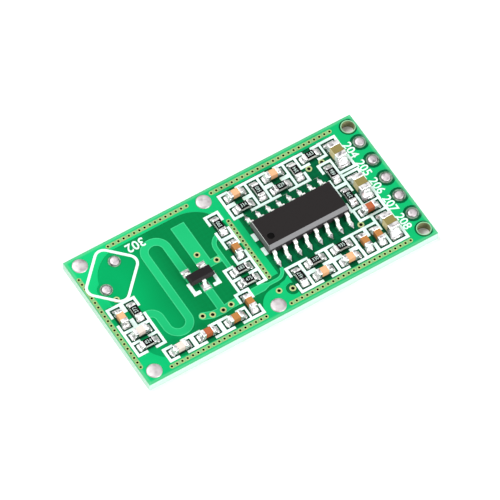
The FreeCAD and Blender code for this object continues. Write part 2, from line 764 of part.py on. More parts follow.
def package_body():
    """The sixteen lead body: a chamfer along the side with the first lead, and a round dimple."""
    body = moulded_body(package, package_body_x, package_y)
    top = seat_z + package.standoff + package.height
    edge_y = package_y - package.width / 2 + package.draft + PACKAGE_CHAMFER
    far_x = package.length
    outline = [(edge_y, top), (edge_y - 1, top - 1), (edge_y - 1, top + 1), (edge_y, top + 1)]
    points = [FreeCAD.Vector(package_body_x - far_x, y, z) for y, z in outline]
    wedge = Part.Face(Part.makePolygon(points + points[:1])).extrude(FreeCAD.Vector(2 * far_x, 0, 0))
    dimple_x = package_body_x - package.length / 2 + DIMPLE_INSET
    dimple_y = package_y + DIMPLE_OFFSET
    return body.cut(wedge).cut(cylinder(dimple_x, dimple_y, DIMPLE_RADIUS, top - DIMPLE_DEPTH, top + 1))


def gull_wing(size, x, y, side):
    """A formed lead: out of the body at mid height, down in a slope, then flat along its pad."""
    middle = seat_z + size.standoff + size.height / 2
    half = size.lead_thickness / 2
    body_y = size.width / 2
    shoulder_y = body_y + size.shoulder
    toe_y = size.span / 2
    heel_y = toe_y - size.foot
    outline = [
        (body_y, middle + half),
        (shoulder_y + half, middle + half),
        (heel_y + half, seat_z + size.lead_thickness),
        (toe_y, seat_z + size.lead_thickness),
        (toe_y, seat_z),
        (heel_y - half, seat_z),
        (shoulder_y - half, middle - half),
        (body_y, middle - half),
    ]
    points = [FreeCAD.Vector(0, reach, z) for reach, z in outline]
    lead = Part.Face(Part.makePolygon(points + points[:1])).extrude(FreeCAD.Vector(size.lead_width, 0, 0))
    lead.translate(FreeCAD.Vector(-size.lead_width / 2, 0, 0))
    if side < 0:
        lead.rotate(FreeCAD.Vector(0, 0, 0), FreeCAD.Vector(0, 0, 1), 180)
    lead.translate(FreeCAD.Vector(x, y, 0))
    return lead


def lead_pad(size, x, y, side, reach, width):
    """The pad under a lead's foot, reaching past its toe."""
    heel = size.span / 2 - size.foot - 0.1
    y0, y1 = sorted((y + side * heel, y + side * (size.span / 2 + reach)))
    return box(x - width / 2, x + width / 2, y0, y1, copper_z, seat_z)


def lead_fillet(size, x, y, side, reach):
    """The solder in front of a lead's toe."""
    wedge = hollow_wedge(reach - 0.1, size.lead_thickness, size.lead_width)
    wedge.translate(FreeCAD.Vector(size.span / 2, 0, seat_z))
    wedge.rotate(FreeCAD.Vector(0, 0, 0), FreeCAD.Vector(0, 0, 1), 90 * side)
    wedge.translate(FreeCAD.Vector(x, y, 0))
    return wedge


def component_pads(chips):
    """Every tinned pad, and the lands of the lone vias."""
    pads = []
    for chip in chips:
        pads += chip_pads(chip)
    for x, y, side in package_pad_places():
        pads.append(lead_pad(package, x, y, side, PACKAGE_PAD_REACH, PACKAGE_PAD_WIDTH))
    for x, y, side in transistor_lead_places():
        pads.append(lead_pad(transistor, x, y, side, TRANSISTOR_PAD_REACH, TRANSISTOR_PAD_WIDTH))
    for x, y in lone_vias():
        pads.append(copper_disc(x, y, LONE_VIA_LAND_RADIUS).cut(via_drill([(x, y)])))
    return Part.makeCompound(pads)


def solder_fillets(chips):
    fillets = []
    for chip in chips:
        fillets += chip_fillets(chip)
    for x, y, side in package_lead_places():
        fillets.append(lead_fillet(package, x, y, side, PACKAGE_PAD_REACH))
    for x, y, side in transistor_lead_places():
        fillets.append(lead_fillet(transistor, x, y, side, TRANSISTOR_PAD_REACH))
    return Part.makeCompound(fillets)


def ring_places():
    """Centre and outer radius of each plated ring."""
    header = [(x, y, PIN_HOLE_RADIUS + HEADER_RING_WIDTH) for x, y in header_places()]
    sensor = [(x, y, PIN_HOLE_RADIUS + SENSOR_RING_WIDTH) for x, y in sensor_places()]
    return header + sensor


def plated_rings():
    """The tinned rings round the pin holes and the light sensor's holes."""
    rings = []
    for x, y, radius in ring_places():
        bore = disc(x, y, PIN_HOLE_RADIUS, copper_z - 1, seat_z + 1)
        rings.append(disc(x, y, radius, copper_z, seat_z).cut(bore))
    return Part.makeCompound(rings)


def solder_plug(x, y, hole_radius, spread, top, rise):
    """Solder that fills a hole from below and ends in a low crown, spread past the hole's edge."""
    plug = disc(x, y, hole_radius, 0, top)
    radius = hole_radius + spread
    outlines = []
    for share in (1, CROWN_SHOULDER, CROWN_TIP):
        lift = rise * (1 - share ** 2)
        turn = 2 * math.pi / ROUND_SIDES
        points = [
            FreeCAD.Vector(
                x + radius * share * math.cos(turn * side),
                y + radius * share * math.sin(turn * side),
                top + lift)
            for side in range(ROUND_SIDES)
        ]
        outlines.append(Part.makePolygon(points + points[:1]))
    return plug.fuse(Part.makeLoft(outlines, True, True)).removeSplitter()


def legend_box(x0, x1, y0, y1):
    return box(x0, x1, y0, y1, copper_z, copper_z + LEGEND_THICKNESS)


def window_size(size):
    """Length and width of the bare window inside a chip's printed frame."""
    return pad_span(size) + 2 * FRAME_CLEARANCE, pad_width(size) + 2 * FRAME_CLEARANCE


def frame_window(chip):
    length, width = window_size(chip.size)
    return turned(legend_box(-length / 2, length / 2, -width / 2, width / 2), chip)


def chip_frame(chip):
    """The printed frame round a chip, with a gap in the middle of each long side."""
    length, width = window_size(chip.size)
    half_length = length / 2 + LINE_WIDTH
    half_width = width / 2 + LINE_WIDTH
    frame = legend_box(-half_length, half_length, -half_width, half_width)
    frame = frame.cut(legend_box(-length / 2, length / 2, -width / 2, width / 2))
    frame = frame.cut(legend_box(-FRAME_NOTCH / 2, FRAME_NOTCH / 2, -2 * half_width, 2 * half_width))
    return turned(frame, chip)


def legend_frames(chips, raised):
    """The printed frames, the package's end marks and the transistor's corner marks."""
    shapes = [chip_frame(chip) for chip in chips]
    mark_x = package_x - package_length / 2 - INDEX_MARK_GAP
    for offset in INDEX_MARK_OFFSETS:
        y0 = package_y + offset
        shapes.append(legend_box(mark_x, mark_x + INDEX_MARK_WIDTH, y0, y0 + INDEX_MARK_LENGTH))
    for side in (-1, 1):
        x_out = transistor_x + side * CORNER_MARK_REACH
        x_in = x_out - side * CORNER_MARK_WIDTH
        x_foot = x_out - side * CORNER_MARK_FOOT
        y0 = transistor_y - CORNER_MARK_DROP
        shapes.append(legend_box(*sorted((x_out, x_in)), y0, transistor_y + CORNER_MARK_RISE))
        shapes.append(legend_box(*sorted((x_out, x_foot)), y0, y0 + CORNER_MARK_WIDTH))
    joined = fuse(shapes)
    windows = Part.makeCompound([frame_window(chip) for chip in chips])
    return joined.cut(windows).cut(raised)


def sensor_outline(raised):
    """The printed outline of the light sensor: a rounded oblong on a slant of 45 degrees."""
    x = left_edge + SENSOR_CENTRE[0] + 0.14
    y = package_y + SENSOR_CENTRE[1] - 0.1
    half = LINE_WIDTH / 2
    z0 = copper_z
    z1 = copper_z + LEGEND_THICKNESS
    shapes = []
    for grow in (half, -half):
        reach_x = OUTLINE_LENGTH / 2 + grow
        reach_y = OUTLINE_WIDTH / 2 + grow
        radii = {(sx, sy): OUTLINE_CORNER + grow for sx in (-1, 1) for sy in (-1, 1)}
        shapes.append(rounded_box(-reach_x, reach_x, -reach_y, reach_y, z0, z1, radii))
    line = shapes[0].cut(shapes[1])
    line.rotate(FreeCAD.Vector(0, 0, 0), FreeCAD.Vector(0, 0, 1), 45)
    line.translate(FreeCAD.Vector(x, y, 0))
    return line.cut(raised)


def write(name, shape):
    shape.exportStep(f"parts/{name}.step")


def main():
    os.makedirs("parts", exist_ok=True)
    chips = chip_places()
    pads = component_pads(chips)
    write("circuit_board", circuit_board())
    write("component_pads", pads)
    traces = {
        "ground_copper": ground_copper(),
        "antenna_trace": antenna_trace(),
        "resonator_stub": resonator_stub(),
        "emitter_strip": emitter_strip(),
        "bias_trace": bias_trace(),
        "output_trace": output_trace(),
    }
    for name, trace in traces.items():
        traces[name] = trace.cut(pads)
        write(name, traces[name])
    rings = plated_rings()
    write("plated_rings", rings)
    mouths = [disc(x, y, PIN_HOLE_RADIUS, copper_z, seat_z + PIN_SOLDER_RISE) for x, y in sensor_places()]
    raised = Part.makeCompound(list(traces.values()) + [rings, pads] + mouths)
    outline = sensor_outline(raised)
    write("sensor_outline", outline)
    write("legend_frames", legend_frames(chips, Part.makeCompound([raised, outline])))
    write("solder_fillets", solder_fillets(chips))
    for number, (x, y) in enumerate(header_places(), start=1):
        write(f"header_solder_{number}", solder_plug(x, y, PIN_HOLE_RADIUS, 0, seat_z, PIN_SOLDER_RISE))
    for number, (x, y) in enumerate(sensor_places(), start=1):
        write(f"sensor_solder_{number}", solder_plug(x, y, PIN_HOLE_RADIUS, 0, seat_z, PIN_SOLDER_RISE))
    _, filled = fixing_places()
    for number, (x, y) in enumerate(filled, start=1):
        copper_top = copper_z + COPPER_THICKNESS
        plug = solder_plug(x, y, FIXING_HOLE_RADIUS, GROUND_SOLDER_SPREAD, copper_top, GROUND_SOLDER_RISE)
        write(f"ground_solder_{number}", plug)
    for chip in chips:
        write(chip.name, chip_part(chip))
    write("package_body", package_body())
    leads = [gull_wing(package, x, y, side) for x, y, side in package_lead_places()]
    write("package_leads", Part.makeCompound(leads))
    write("transistor_body", moulded_body(transistor, transistor_x, transistor_y))
    leads = [gull_wing(transistor, x, y, side) for x, y, side in transistor_lead_places()]
    write("transistor_leads", Part.makeCompound(leads))


main()
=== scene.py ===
import json
import logging
import math
import random
from dataclasses import dataclass, field, replace
from enum import Enum
from typing import Iterable, Sequence, Union

import bmesh
import bpy
from mathutils import Matrix, Vector


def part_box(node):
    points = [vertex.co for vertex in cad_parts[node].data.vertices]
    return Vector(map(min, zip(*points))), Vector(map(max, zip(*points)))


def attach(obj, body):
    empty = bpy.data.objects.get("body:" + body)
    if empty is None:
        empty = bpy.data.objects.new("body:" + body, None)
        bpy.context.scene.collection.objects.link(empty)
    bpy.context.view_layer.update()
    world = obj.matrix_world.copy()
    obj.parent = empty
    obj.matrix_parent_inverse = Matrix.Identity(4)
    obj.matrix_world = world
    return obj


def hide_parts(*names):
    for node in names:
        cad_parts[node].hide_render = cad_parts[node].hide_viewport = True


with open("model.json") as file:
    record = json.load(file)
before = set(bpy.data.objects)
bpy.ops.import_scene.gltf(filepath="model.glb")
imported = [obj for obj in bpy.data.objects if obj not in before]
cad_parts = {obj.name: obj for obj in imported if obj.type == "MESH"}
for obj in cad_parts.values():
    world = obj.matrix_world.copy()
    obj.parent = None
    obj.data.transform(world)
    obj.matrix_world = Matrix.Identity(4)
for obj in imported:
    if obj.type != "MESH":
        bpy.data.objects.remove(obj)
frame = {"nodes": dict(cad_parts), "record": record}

# Sizes are in millimetres, and MM turns them into Blender's metres
MM = 0.001
BODY = "root"
LAMINATE_TOP = 1.05
COPPER_TOP = 1.10
PAD_TOP = 1.11
LEAD_PITCH = 1.27
LEADS_A_SIDE = 8
SEED = 11

Colour = tuple[float, float, float]
Point = tuple[float, float]
Stretch = tuple[float, float, float]
Value = Union["Field", bpy.types.NodeSocket, float]
log = logging.getLogger("sensor_module")


def linear(red: int, green: int, blue: int) -> Colour:
    """Turns a colour as seen on a screen into the linear values that shaders take.

    Args:
        red: Red, 0 to 255.
        green: Green, 0 to 255.
        blue: Blue, 0 to 255.

    Returns:
        The three linear values.
    """
    def channel(value: int) -> float:
        """One channel of the colour."""
        share = value / 255
        return share / 12.92 if share <= 0.04045 else ((share + 0.055) / 1.055) ** 2.4

    return channel(red), channel(green), channel(blue)


def around(x: float, y: float, radius: float, angle: float) -> Point:
    """The point at an angle on a circle about a place."""
    return x + radius * math.cos(angle), y + radius * math.sin(angle)


# Trees of nodes


class Nodes:
    """A tree of nodes under construction, of a material, a surround or a pattern."""

    def __init__(self, tree: bpy.types.NodeTree) -> None:
        """Takes up a tree.

        Args:
            tree: The tree that new nodes go into.
        """
        self.tree = tree

    def feed(self, target: bpy.types.NodeSocket, value: object) -> None:
        """Links an output to an input, or sets the input's own value.

        Args:
            target: The input.
            value: A number, a colour, a direction, another node's output or a field.
        """
        source = value.socket if isinstance(value, Field) else value
        if isinstance(source, bpy.types.NodeSocket):
            self.tree.links.new(source, target)
        elif isinstance(source, tuple) and len(source) == 3 and target.type == "RGBA":
            target.default_value = (*source, 1.0)
        else:
            target.default_value = source

    def node(self, kind: str, values: dict[str, object], **settings: object) -> bpy.types.Node:
        """Adds a node.

        Args:
            kind: Blender's name of the node type.
            values: What each named input takes.
            settings: Properties of the node itself.

        Returns:
            The new node.
        """
        made = self.tree.nodes.new(kind)
        for key, value in settings.items():
            setattr(made, key, value)
        for key, value in values.items():
            self.feed(made.inputs[key], value)
        return made

    def maths(self, operation: str, *values: object) -> bpy.types.NodeSocket:
        """Adds one step of arithmetic.

        Args:
            operation: Blender's name of the operation.
            values: Its numbers in order.

        Returns:
            The result.
        """
        made = self.node("ShaderNodeMath", {}, operation=operation)
        for target, value in zip(made.inputs, values):
            self.feed(target, value)
        return made.outputs[0]

    def band(self, value: object, low: float, high: float,
             out_low: float = 0.0, out_high: float = 1.0) -> bpy.types.NodeSocket:
        """Maps a range of values to another, held at its ends."""
        return self.node("ShaderNodeMapRange", {
            "Value": value, "From Min": low, "From Max": high,
            "To Min": out_low, "To Max": out_high}).outputs["Result"]

    def cosine(self, source: bpy.types.NodeSocket, way: Sequence[float]) -> bpy.types.NodeSocket:
        """Adds the cosine of the angle between two directions of length 1.

        Args:
            source: The output that gives the first.
            way: The second.

        Returns:
            The cosine.
        """
        made = self.node("ShaderNodeVectorMath", {}, operation="DOT_PRODUCT")
        self.feed(made.inputs[0], source)
        self.feed(made.inputs[1], way)
        return made.outputs["Value"]


# Finishes


# Where most values of a cloudy pattern lie
CLOUD_BAND = (0.3, 0.7)


class Shader(Nodes):
    """A material under construction: one main shader and the nodes that feed it."""

    def __init__(self, name: str) -> None:
        """Starts a material.

        Args:
            name: Name of the material.
        """
        self.material = bpy.data.materials.new(name)
        self.material.use_nodes = True
        super().__init__(self.material.node_tree)
        self.main = self.tree.nodes["Principled BSDF"]

    def place(self) -> bpy.types.NodeSocket:
        """Where a point lies on the object, in metres."""
        return self.node("ShaderNodeTexCoord", {}).outputs["Object"]

    def axis(self, name: str) -> bpy.types.NodeSocket:
        """Where a point lies along one axis of the object, in metres."""
        return self.node("ShaderNodeSeparateXYZ", {"Vector": self.place()}).outputs[name]

    def noise(self, scale: float, detail: float) -> bpy.types.NodeSocket:
        """Cloudy variation about 0.5, from its clouds per metre and its finer layers."""
        return self.node("ShaderNodeTexNoise", {
            "Vector": self.place(), "Scale": scale, "Detail": detail}).outputs["Fac"]

    def mix(self, share: object, low: object, high: object) -> bpy.types.NodeSocket:
        """Blends two colours, through the colour sockets of the mixing node.

        Args:
            share: Share of the second, 0 to 1.
            low: The first colour.
            high: The second colour.

        Returns:
            The blend.
        """
        made = self.node("ShaderNodeMix", {}, data_type="RGBA")
        for index, value in ((0, share), (6, low), (7, high)):
            self.feed(made.inputs[index], value)
        return made.outputs[2]

    def normal(self) -> bpy.types.NodeSocket:
        """Which way a face looks, before any bump."""
        return self.node("ShaderNodeNewGeometry", {}).outputs["True Normal"]

    def upright(self) -> bpy.types.NodeSocket:
        """How far a face looks up: 1 on top, 0 on a wall, -1 underneath."""
        return self.node("ShaderNodeSeparateXYZ", {"Vector": self.normal()}).outputs["Z"]

    def bump(self, height: object, depth: float, strength: float) -> None:
        """Roughens the surface by a height.

        Args:
            height: The height, 0 to 1.
            depth: What a height of 1 stands for, in metres.
            strength: Share of it that shows.
        """
        made = self.node("ShaderNodeBump", {"Height": height, "Distance": depth, "Strength": strength})
        self.feed(self.main.inputs["Normal"], made.outputs["Normal"])

    def finish(self, colour: object, roughness: object, metallic: float = 0.0,
               specular: float = 0.5) -> bpy.types.Material:
        """Sets the main shader and gives back the material.

        Args:
            colour: Base colour or the output that gives it.
            roughness: Roughness or the output that gives it.
            metallic: 0 for a plain surface, 1 for a metal.
            specular: Strength of the plain reflection.

        Returns:
            The finished material.
        """
        for key, value in (("Base Color", colour), ("Roughness", roughness),
                           ("Metallic", metallic), ("Specular IOR Level", specular)):
            self.feed(self.main.inputs[key], value)
        return self.material


@dataclass(frozen=True)
class SolderMask:
    """Green mask, over copper or over bare glass cloth.

    Shade stations are places along the board between which the mask darkens, as painted shade, with the
    colour that it reaches.
    Warp and weft are threads of the cloth, as the pattern's scale, and relief is their height in metres.
    """

    name: str
    colour: Colour
    shade: Colour
    wall: Colour
    weave: float
    roughness: float = 0.38
    specular: float = 0.08
    shade_stations: tuple[tuple[float, float, Colour], ...] = ()
    clouds: float = 95.0
    cloud_band: Point = (0.35, 0.65)
    warp: float = 620.0
    weft: float = 560.0
    waver: float = 0.4
    cloth_band: Point = (0.2, 1.8)
    relief: float = 0.000004
    relief_share: float = 0.35
    layers: float = 2.0
    top_band: Point = (0.25, 0.75)
    under_band: Point = (-0.75, -0.25)
    rim: Colour = linear(104, 198, 146)
    rim_width: float = 0.42
    rim_share: float = 0.85

    def material(self) -> bpy.types.Material:
        """Builds the mask: cloudy green on the cloth's weave, darkened between stations as painted shade, and
        pale at the board's rim.

        Returns:
            The material.
        """
        shader = Shader(self.name)
        clouds = shader.band(shader.noise(self.clouds, self.layers), *self.cloud_band)
        face = shader.mix(clouds, self.shade, self.colour)
        # painted shade: the mask darkens along the board towards each station's colour
        for start, end, shade_tone in self.shade_stations:
            face = shader.mix(shader.band(shader.axis("X"), start * MM, end * MM), face, shade_tone)
        threads = [shader.node("ShaderNodeTexWave", {
            "Vector": shader.place(), "Scale": scale, "Distortion": self.waver, "Detail": 1.0},
            bands_direction=axis).outputs["Fac"] for scale, axis in ((self.warp, "X"), (self.weft, "Y"))]
        cloth = shader.maths("ADD", *threads)
        woven = shader.mix(shader.band(cloth, *self.cloth_band, 0.0, self.weave), face, self.shade)
        _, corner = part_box("circuit_board")
        for axis, reach in (("X", corner.x), ("Y", corner.y)):
            distance = shader.maths("ABSOLUTE", shader.axis(axis))
            edge = shader.band(distance, reach - self.rim_width * MM, reach, 0.0, self.rim_share)
            woven = shader.mix(edge, woven, self.rim)
        top = shader.band(shader.upright(), *self.top_band)
        upwards = shader.band(shader.upright(), *self.under_band)
        sides = shader.mix(upwards, self.colour, self.wall)
        shader.bump(cloth, self.relief, self.relief_share)
        return shader.finish(shader.mix(top, sides, woven), self.roughness, specular=self.specular)


@dataclass(frozen=True)
class BrightMetal:
    """Tin, solder or a plated lead, with a slightly uneven skin.

    Grain is clouds per metre and depth is their height in metres. Painted shade darkens an oblong, if it has
    a reach.
    """

    name: str
    colour: Colour
    patch: Colour
    roughness: float
    grain: float
    depth: float
    painted_shade: Colour = (0.0, 0.0, 0.0)
    painted_shade_middle: Point = (0.0, 0.0)
    painted_shade_reach: Point = (0.0, 0.0)
    layers: float = 3.0
    patch_band: Point = (0.32, 0.52)
    relief_share: float = 0.8
    gloss_spread: float = 0.25

    def material(self) -> bpy.types.Material:
        """Builds the metal: uneven in height and gloss, with duller patches, and painted shade over an
        oblong.

        Returns:
            The material.
        """
        shader = Shader(self.name)
        skin = shader.noise(self.grain, self.layers)
        tone = shader.mix(shader.band(skin, *self.patch_band), self.patch, self.colour)
        # painted shade: the metal takes a dark green over the oblong
        if self.painted_shade_reach[0]:
            inside = [shader.maths("COMPARE", shader.axis(axis), middle * MM, reach * MM)
                      for axis, middle, reach in zip("XY", self.painted_shade_middle, self.painted_shade_reach)]
            tone = shader.mix(shader.maths("MULTIPLY", *inside), tone, self.painted_shade)
        rough = shader.band(skin, *CLOUD_BAND, self.roughness * (1 - self.gloss_spread),
                            self.roughness * (1 + self.gloss_spread))
        shader.bump(skin, self.depth, self.relief_share)
        return shader.finish(tone, rough, metallic=1.0)


@dataclass(frozen=True)
class PlainSkin:
    """A painted, moulded or fired surface whose walls may have a tone of their own; on the chip bodies the
    darker wall tone is painted shade.

    Grain is specks per metre and depth is their height in metres. Painted sheen gives slopes a lighter colour
    as a painted highlight, each by the direction that it looks in and the cosine within which a face counts.
    """

    name: str
    colour: Colour
    wall: Colour
    roughness: float
    grain: float = 9000.0
    depth: float = 0.000006
    specular: float = 0.2
    painted_sheen: tuple[tuple[Colour, float, Colour], ...] = ()
    layers: float = 4.0
    speck: float = 0.86
    wall_band: Point = (0.35, 0.85)
    painted_sheen_margin: float = 0.02
    relief_share: float = 0.7
    gloss_spread: float = 0.15

    def material(self) -> bpy.types.Material:
        """Builds the surface: fine grain in tone and height, a wall tone on walls, and painted highlights on
        slopes.

        Returns:
            The material.
        """
        shader = Shader(self.name)
        grain = shader.noise(self.grain, self.layers)
        dark = tuple(self.speck * part for part in self.colour)
        top = shader.mix(shader.band(grain, *CLOUD_BAND), dark, self.colour)
        # walls take the wall tone, which on the chip bodies is painted shade
        tone = shader.mix(shader.band(shader.upright(), *self.wall_band), self.wall, top)
        # painted highlight: faces that look in a given direction take a lighter colour, as if the light
        # caught them
        for way, least, colour in self.painted_sheen:
            cosine = shader.cosine(shader.normal(), way)
            tone = shader.mix(shader.band(cosine, least - self.painted_sheen_margin, least), tone, colour)
        rough = shader.band(grain, *CLOUD_BAND, self.roughness * (1 - self.gloss_spread),
                            min(1.0, self.roughness * (1 + self.gloss_spread)))
        shader.bump(grain, self.depth, self.relief_share)
        return shader.finish(tone, rough, specular=self.specular)


class Finish(Enum):
    """Every finish on the module."""

    # The stations of the first two masks are painted shade: the mask darkens along the board.
    LAMINATE = SolderMask(
        "mask_on_laminate", linear(0, 160, 90), linear(0, 142, 80), linear(186, 220, 200), 0.1, 0.42, 0.04,
        ((-13.5, -8.0, linear(0, 114, 59)), (0.0, 2.5, linear(0, 82, 48))))
    GROUND = SolderMask(
        "mask_on_ground", linear(16, 184, 110), linear(6, 170, 100), linear(60, 190, 130), 0.04, 0.38, 0.06,
        ((-10.0, 6.0, linear(10, 166, 98)),))
    TRACE = SolderMask(
        "mask_on_trace", linear(26, 176, 108), linear(22, 164, 100), linear(60, 190, 130), 0.04)
    # Pale lines on the traces' edges: thinner mask there, and a painted highlight along the edges.
    TRACE_RIM = PlainSkin("trace_rim", linear(56, 194, 128), linear(48, 184, 120), 0.45, specular=0.08)
    # Dark green in the mask openings round the chips: bare laminate, with painted shade on it.
    SHADOW = PlainSkin("mask_opening", linear(0, 62, 38), linear(0, 50, 30), 0.6, specular=0.05)
    STRIPE = PlainSkin("pale_stripe", linear(122, 176, 118), linear(110, 160, 100), 0.5)
    VIA_RING = PlainSkin("via_ring", linear(158, 186, 116), linear(140, 160, 100), 0.45)
    LONE_RING = PlainSkin("lone_via_ring", linear(176, 190, 128), linear(160, 170, 112), 0.4)
    # Dark discs in the via holes and dark liners in the joints' gaps: painted shade.
    HOLE_SHADE = PlainSkin("via_mouth", linear(18, 12, 4), linear(18, 14, 8), 0.8, specular=0.03)
    PRINT = PlainSkin(
        "white_print", linear(222, 244, 236), linear(214, 234, 226), 0.6, 14000.0, 0.000003, 0.1)
    # The pads take painted shade, a dark green, over an oblong round the package.
    PAD = BrightMetal(
        "pad_tin", linear(214, 216, 212), linear(120, 126, 122), 0.4, 2600.0, 0.000006,
        linear(20, 96, 62), (5.85, 0.0), (5.0, 3.66))
    RING = BrightMetal("plated_ring", linear(150, 180, 158), linear(96, 122, 104), 0.4, 2600.0, 0.000006)
    SOLDER = BrightMetal("bright_solder", linear(246, 244, 244), linear(150, 150, 150), 0.35, 2200.0, 0.00001)
    GROUND_SOLDER = BrightMetal(
        "ground_solder", linear(207, 202, 203), linear(188, 178, 181), 0.6, 1500.0, 0.000012)
    PIN_SOLDER = BrightMetal(
        "pin_solder", linear(210, 201, 205), linear(170, 163, 167), 0.6, 2800.0, 0.000014)
    LEAD = BrightMetal(
        "tinned_lead", linear(253, 252, 250), linear(238, 236, 232), 0.55, 2000.0, 0.0000015)
    CAP_END = BrightMetal("chip_end", linear(250, 248, 248), linear(150, 150, 150), 0.4, 2200.0, 0.000009)
    # The moulding's slope colours are painted highlights on the chamfer, the left end and its top edge.
    MOULDING = PlainSkin(
        "package_moulding", linear(34, 31, 31), linear(40, 38, 40), 0.55, 11000.0, 0.000006, 0.12, (
            ((0.0, -0.7071, 0.7071), 0.97, linear(128, 128, 130)),
            ((-0.98, 0.0, 0.2), 0.97, linear(96, 98, 98)),
            ((-0.8, 0.0, 0.6), 0.93, linear(190, 192, 190)),
        ))
    DIMPLE = PlainSkin("dimple_floor", linear(10, 9, 9), linear(60, 60, 60), 0.6, specular=0.05)
    SMALL_MOULDING = PlainSkin(
        "small_moulding", linear(30, 26, 28), linear(52, 48, 50), 0.55, 11000.0, 0.000006, 0.1)
    # The chip ceramics below, bar the black coat, have darker walls: painted shade on the chips' sides.
    ALUMINA = PlainSkin("alumina", linear(226, 226, 222), linear(206, 206, 202), 0.6)
    COAT = PlainSkin("black_coat", linear(12, 10, 10), linear(12, 10, 10), 0.5, specular=0.06)
    PALE_CERAMIC = PlainSkin("pale_ceramic", linear(226, 172, 128), linear(214, 160, 118), 0.45)
    WHITE_CERAMIC = PlainSkin("white_ceramic", linear(232, 210, 200), linear(206, 190, 182), 0.45)
    BROWN_CERAMIC = PlainSkin("brown_ceramic", linear(176, 118, 62), linear(158, 104, 54), 0.42)
    RED_CERAMIC = PlainSkin("red_ceramic", linear(174, 92, 56), linear(156, 82, 50), 0.42)
    OLIVE_CERAMIC = PlainSkin("olive_ceramic", linear(134, 122, 70), linear(214, 200, 150), 0.45)
    HOLE_WALL = PlainSkin("hole_wall", linear(150, 210, 164), linear(134, 136, 98), 0.5)

    def get(self) -> bpy.types.Material:
        """The finish's material, built when it is first asked for."""
        known = bpy.data.materials.get(self.value.name)
        return known or self.value.material()

    def on(self, made: bpy.types.Object) -> bpy.types.Object:
        """Gives an object this finish as its only one.

        Args:
            made: The object.

        Returns:
            The object.
        """
        made.data.materials.clear()
        made.data.materials.append(self.get())
        return made


# Patterns


class Field:
    """A number inside a pattern's tree, which may differ from point to point."""

    def __init__(self, tree: "Tree", socket: bpy.types.NodeSocket) -> None:
        """Wraps an output of the tree.

        Args:
            tree: The tree that the output is in.
            socket: The output.
        """
        self.tree = tree
        self.socket = socket

    def run(self, operation: str, other: Value) -> "Field":
        """Feeds this number and another through one step of arithmetic."""
        return Field(self.tree, self.tree.maths(operation, self, other))

    def __add__(self, other: Value) -> "Field":
        """Adds a number."""
        return self.run("ADD", other)

    def __mul__(self, other: Value) -> "Field":
        """Multiplies by a number."""
        return self.run("MULTIPLY", other)

    def __pow__(self, other: Value) -> "Field":
        """Raises to a power."""
        return self.run("POWER", other)


class Tree(Nodes):
    """A geometry tree with named inputs that repeats one shape over points."""

    def __init__(self, name: str) -> None:
        """Starts an empty tree.

        Args:
            name: Name of the tree.
        """
        super().__init__(bpy.data.node_groups.new(name, "GeometryNodeTree"))
        self.tree.interface.new_socket("Points", in_out="INPUT", socket_type="NodeSocketGeometry")
        self.tree.interface.new_socket("Geometry", in_out="OUTPUT", socket_type="NodeSocketGeometry")
        self.entry = self.tree.nodes.new("NodeGroupInput")
        self.exit = self.tree.nodes.new("NodeGroupOutput")
        self.names: dict[str, str] = {}

    def number(self, name: str, default: float) -> Field:
        """Adds a named input.

        Args:
            name: Name of the input.
            default: Its value if a piece doesn't set it.

        Returns:
            The input's number.
        """
        item = self.tree.interface.new_socket(name, in_out="INPUT", socket_type="NodeSocketFloat")
        item.default_value = default
        self.names[name] = item.identifier
        return Field(self, self.entry.outputs[name])

    def vector(self, x: Value, y: Value, z: Value) -> bpy.types.NodeSocket:
        """Three numbers as one vector."""
        return self.node("ShaderNodeCombineXYZ", {"X": x, "Y": y, "Z": z}).outputs[0]

    def position(self) -> tuple[Field, Field, Field]:
        """A point's own place.

        Returns:
            Its place along each axis.
        """
        place = self.node("GeometryNodeInputPosition", {}).outputs[0]
        parts = self.node("ShaderNodeSeparateXYZ", {"Vector": place}).outputs
        return Field(self, parts[0]), Field(self, parts[1]), Field(self, parts[2])

    def attribute(self, name: str, kind: str) -> bpy.types.NodeSocket:
        """What the points carry under a name."""
        made = self.node("GeometryNodeInputNamedAttribute", {"Name": name}, data_type=kind)
        return next(out for out in made.outputs if out.enabled and out.name == "Attribute")

    def repeat(self, shape: bpy.types.NodeSocket, finish: Finish, smooth: bool = False) -> None:
        """Ends the tree: the shape on every point, turned and stretched as the point says.

        Args:
            shape: The shape to repeat.
            finish: Its finish.
            smooth: Whether its faces are shaded as one curved skin.
        """
        shaded = self.node("GeometryNodeSetShadeSmooth", {"Geometry": shape, "Shade Smooth": smooth})
        turned = self.node("FunctionNodeEulerToRotation", {
            "Euler": self.vector(0.0, 0.0, self.attribute("turn", "FLOAT"))})
        placed = self.node("GeometryNodeInstanceOnPoints", {
            "Points": self.entry.outputs["Points"],
            "Instance": shaded.outputs[0],
            "Rotation": turned.outputs[0],
            "Scale": self.attribute("stretch", "FLOAT_VECTOR"),
        })
        real = self.node("GeometryNodeRealizeInstances", {"Geometry": placed.outputs[0]})
        dressed = self.node("GeometryNodeSetMaterial", {
            "Geometry": real.outputs[0], "Material": finish.get()})
        self.feed(self.exit.inputs[0], dressed.outputs[0])


@dataclass
class Spot:
    """One place in a pattern, with a turn in radians and a stretch per direction."""

    x: float
    y: float
    z: float
    turn: float = 0.0
    stretch: Stretch = (1.0, 1.0, 1.0)


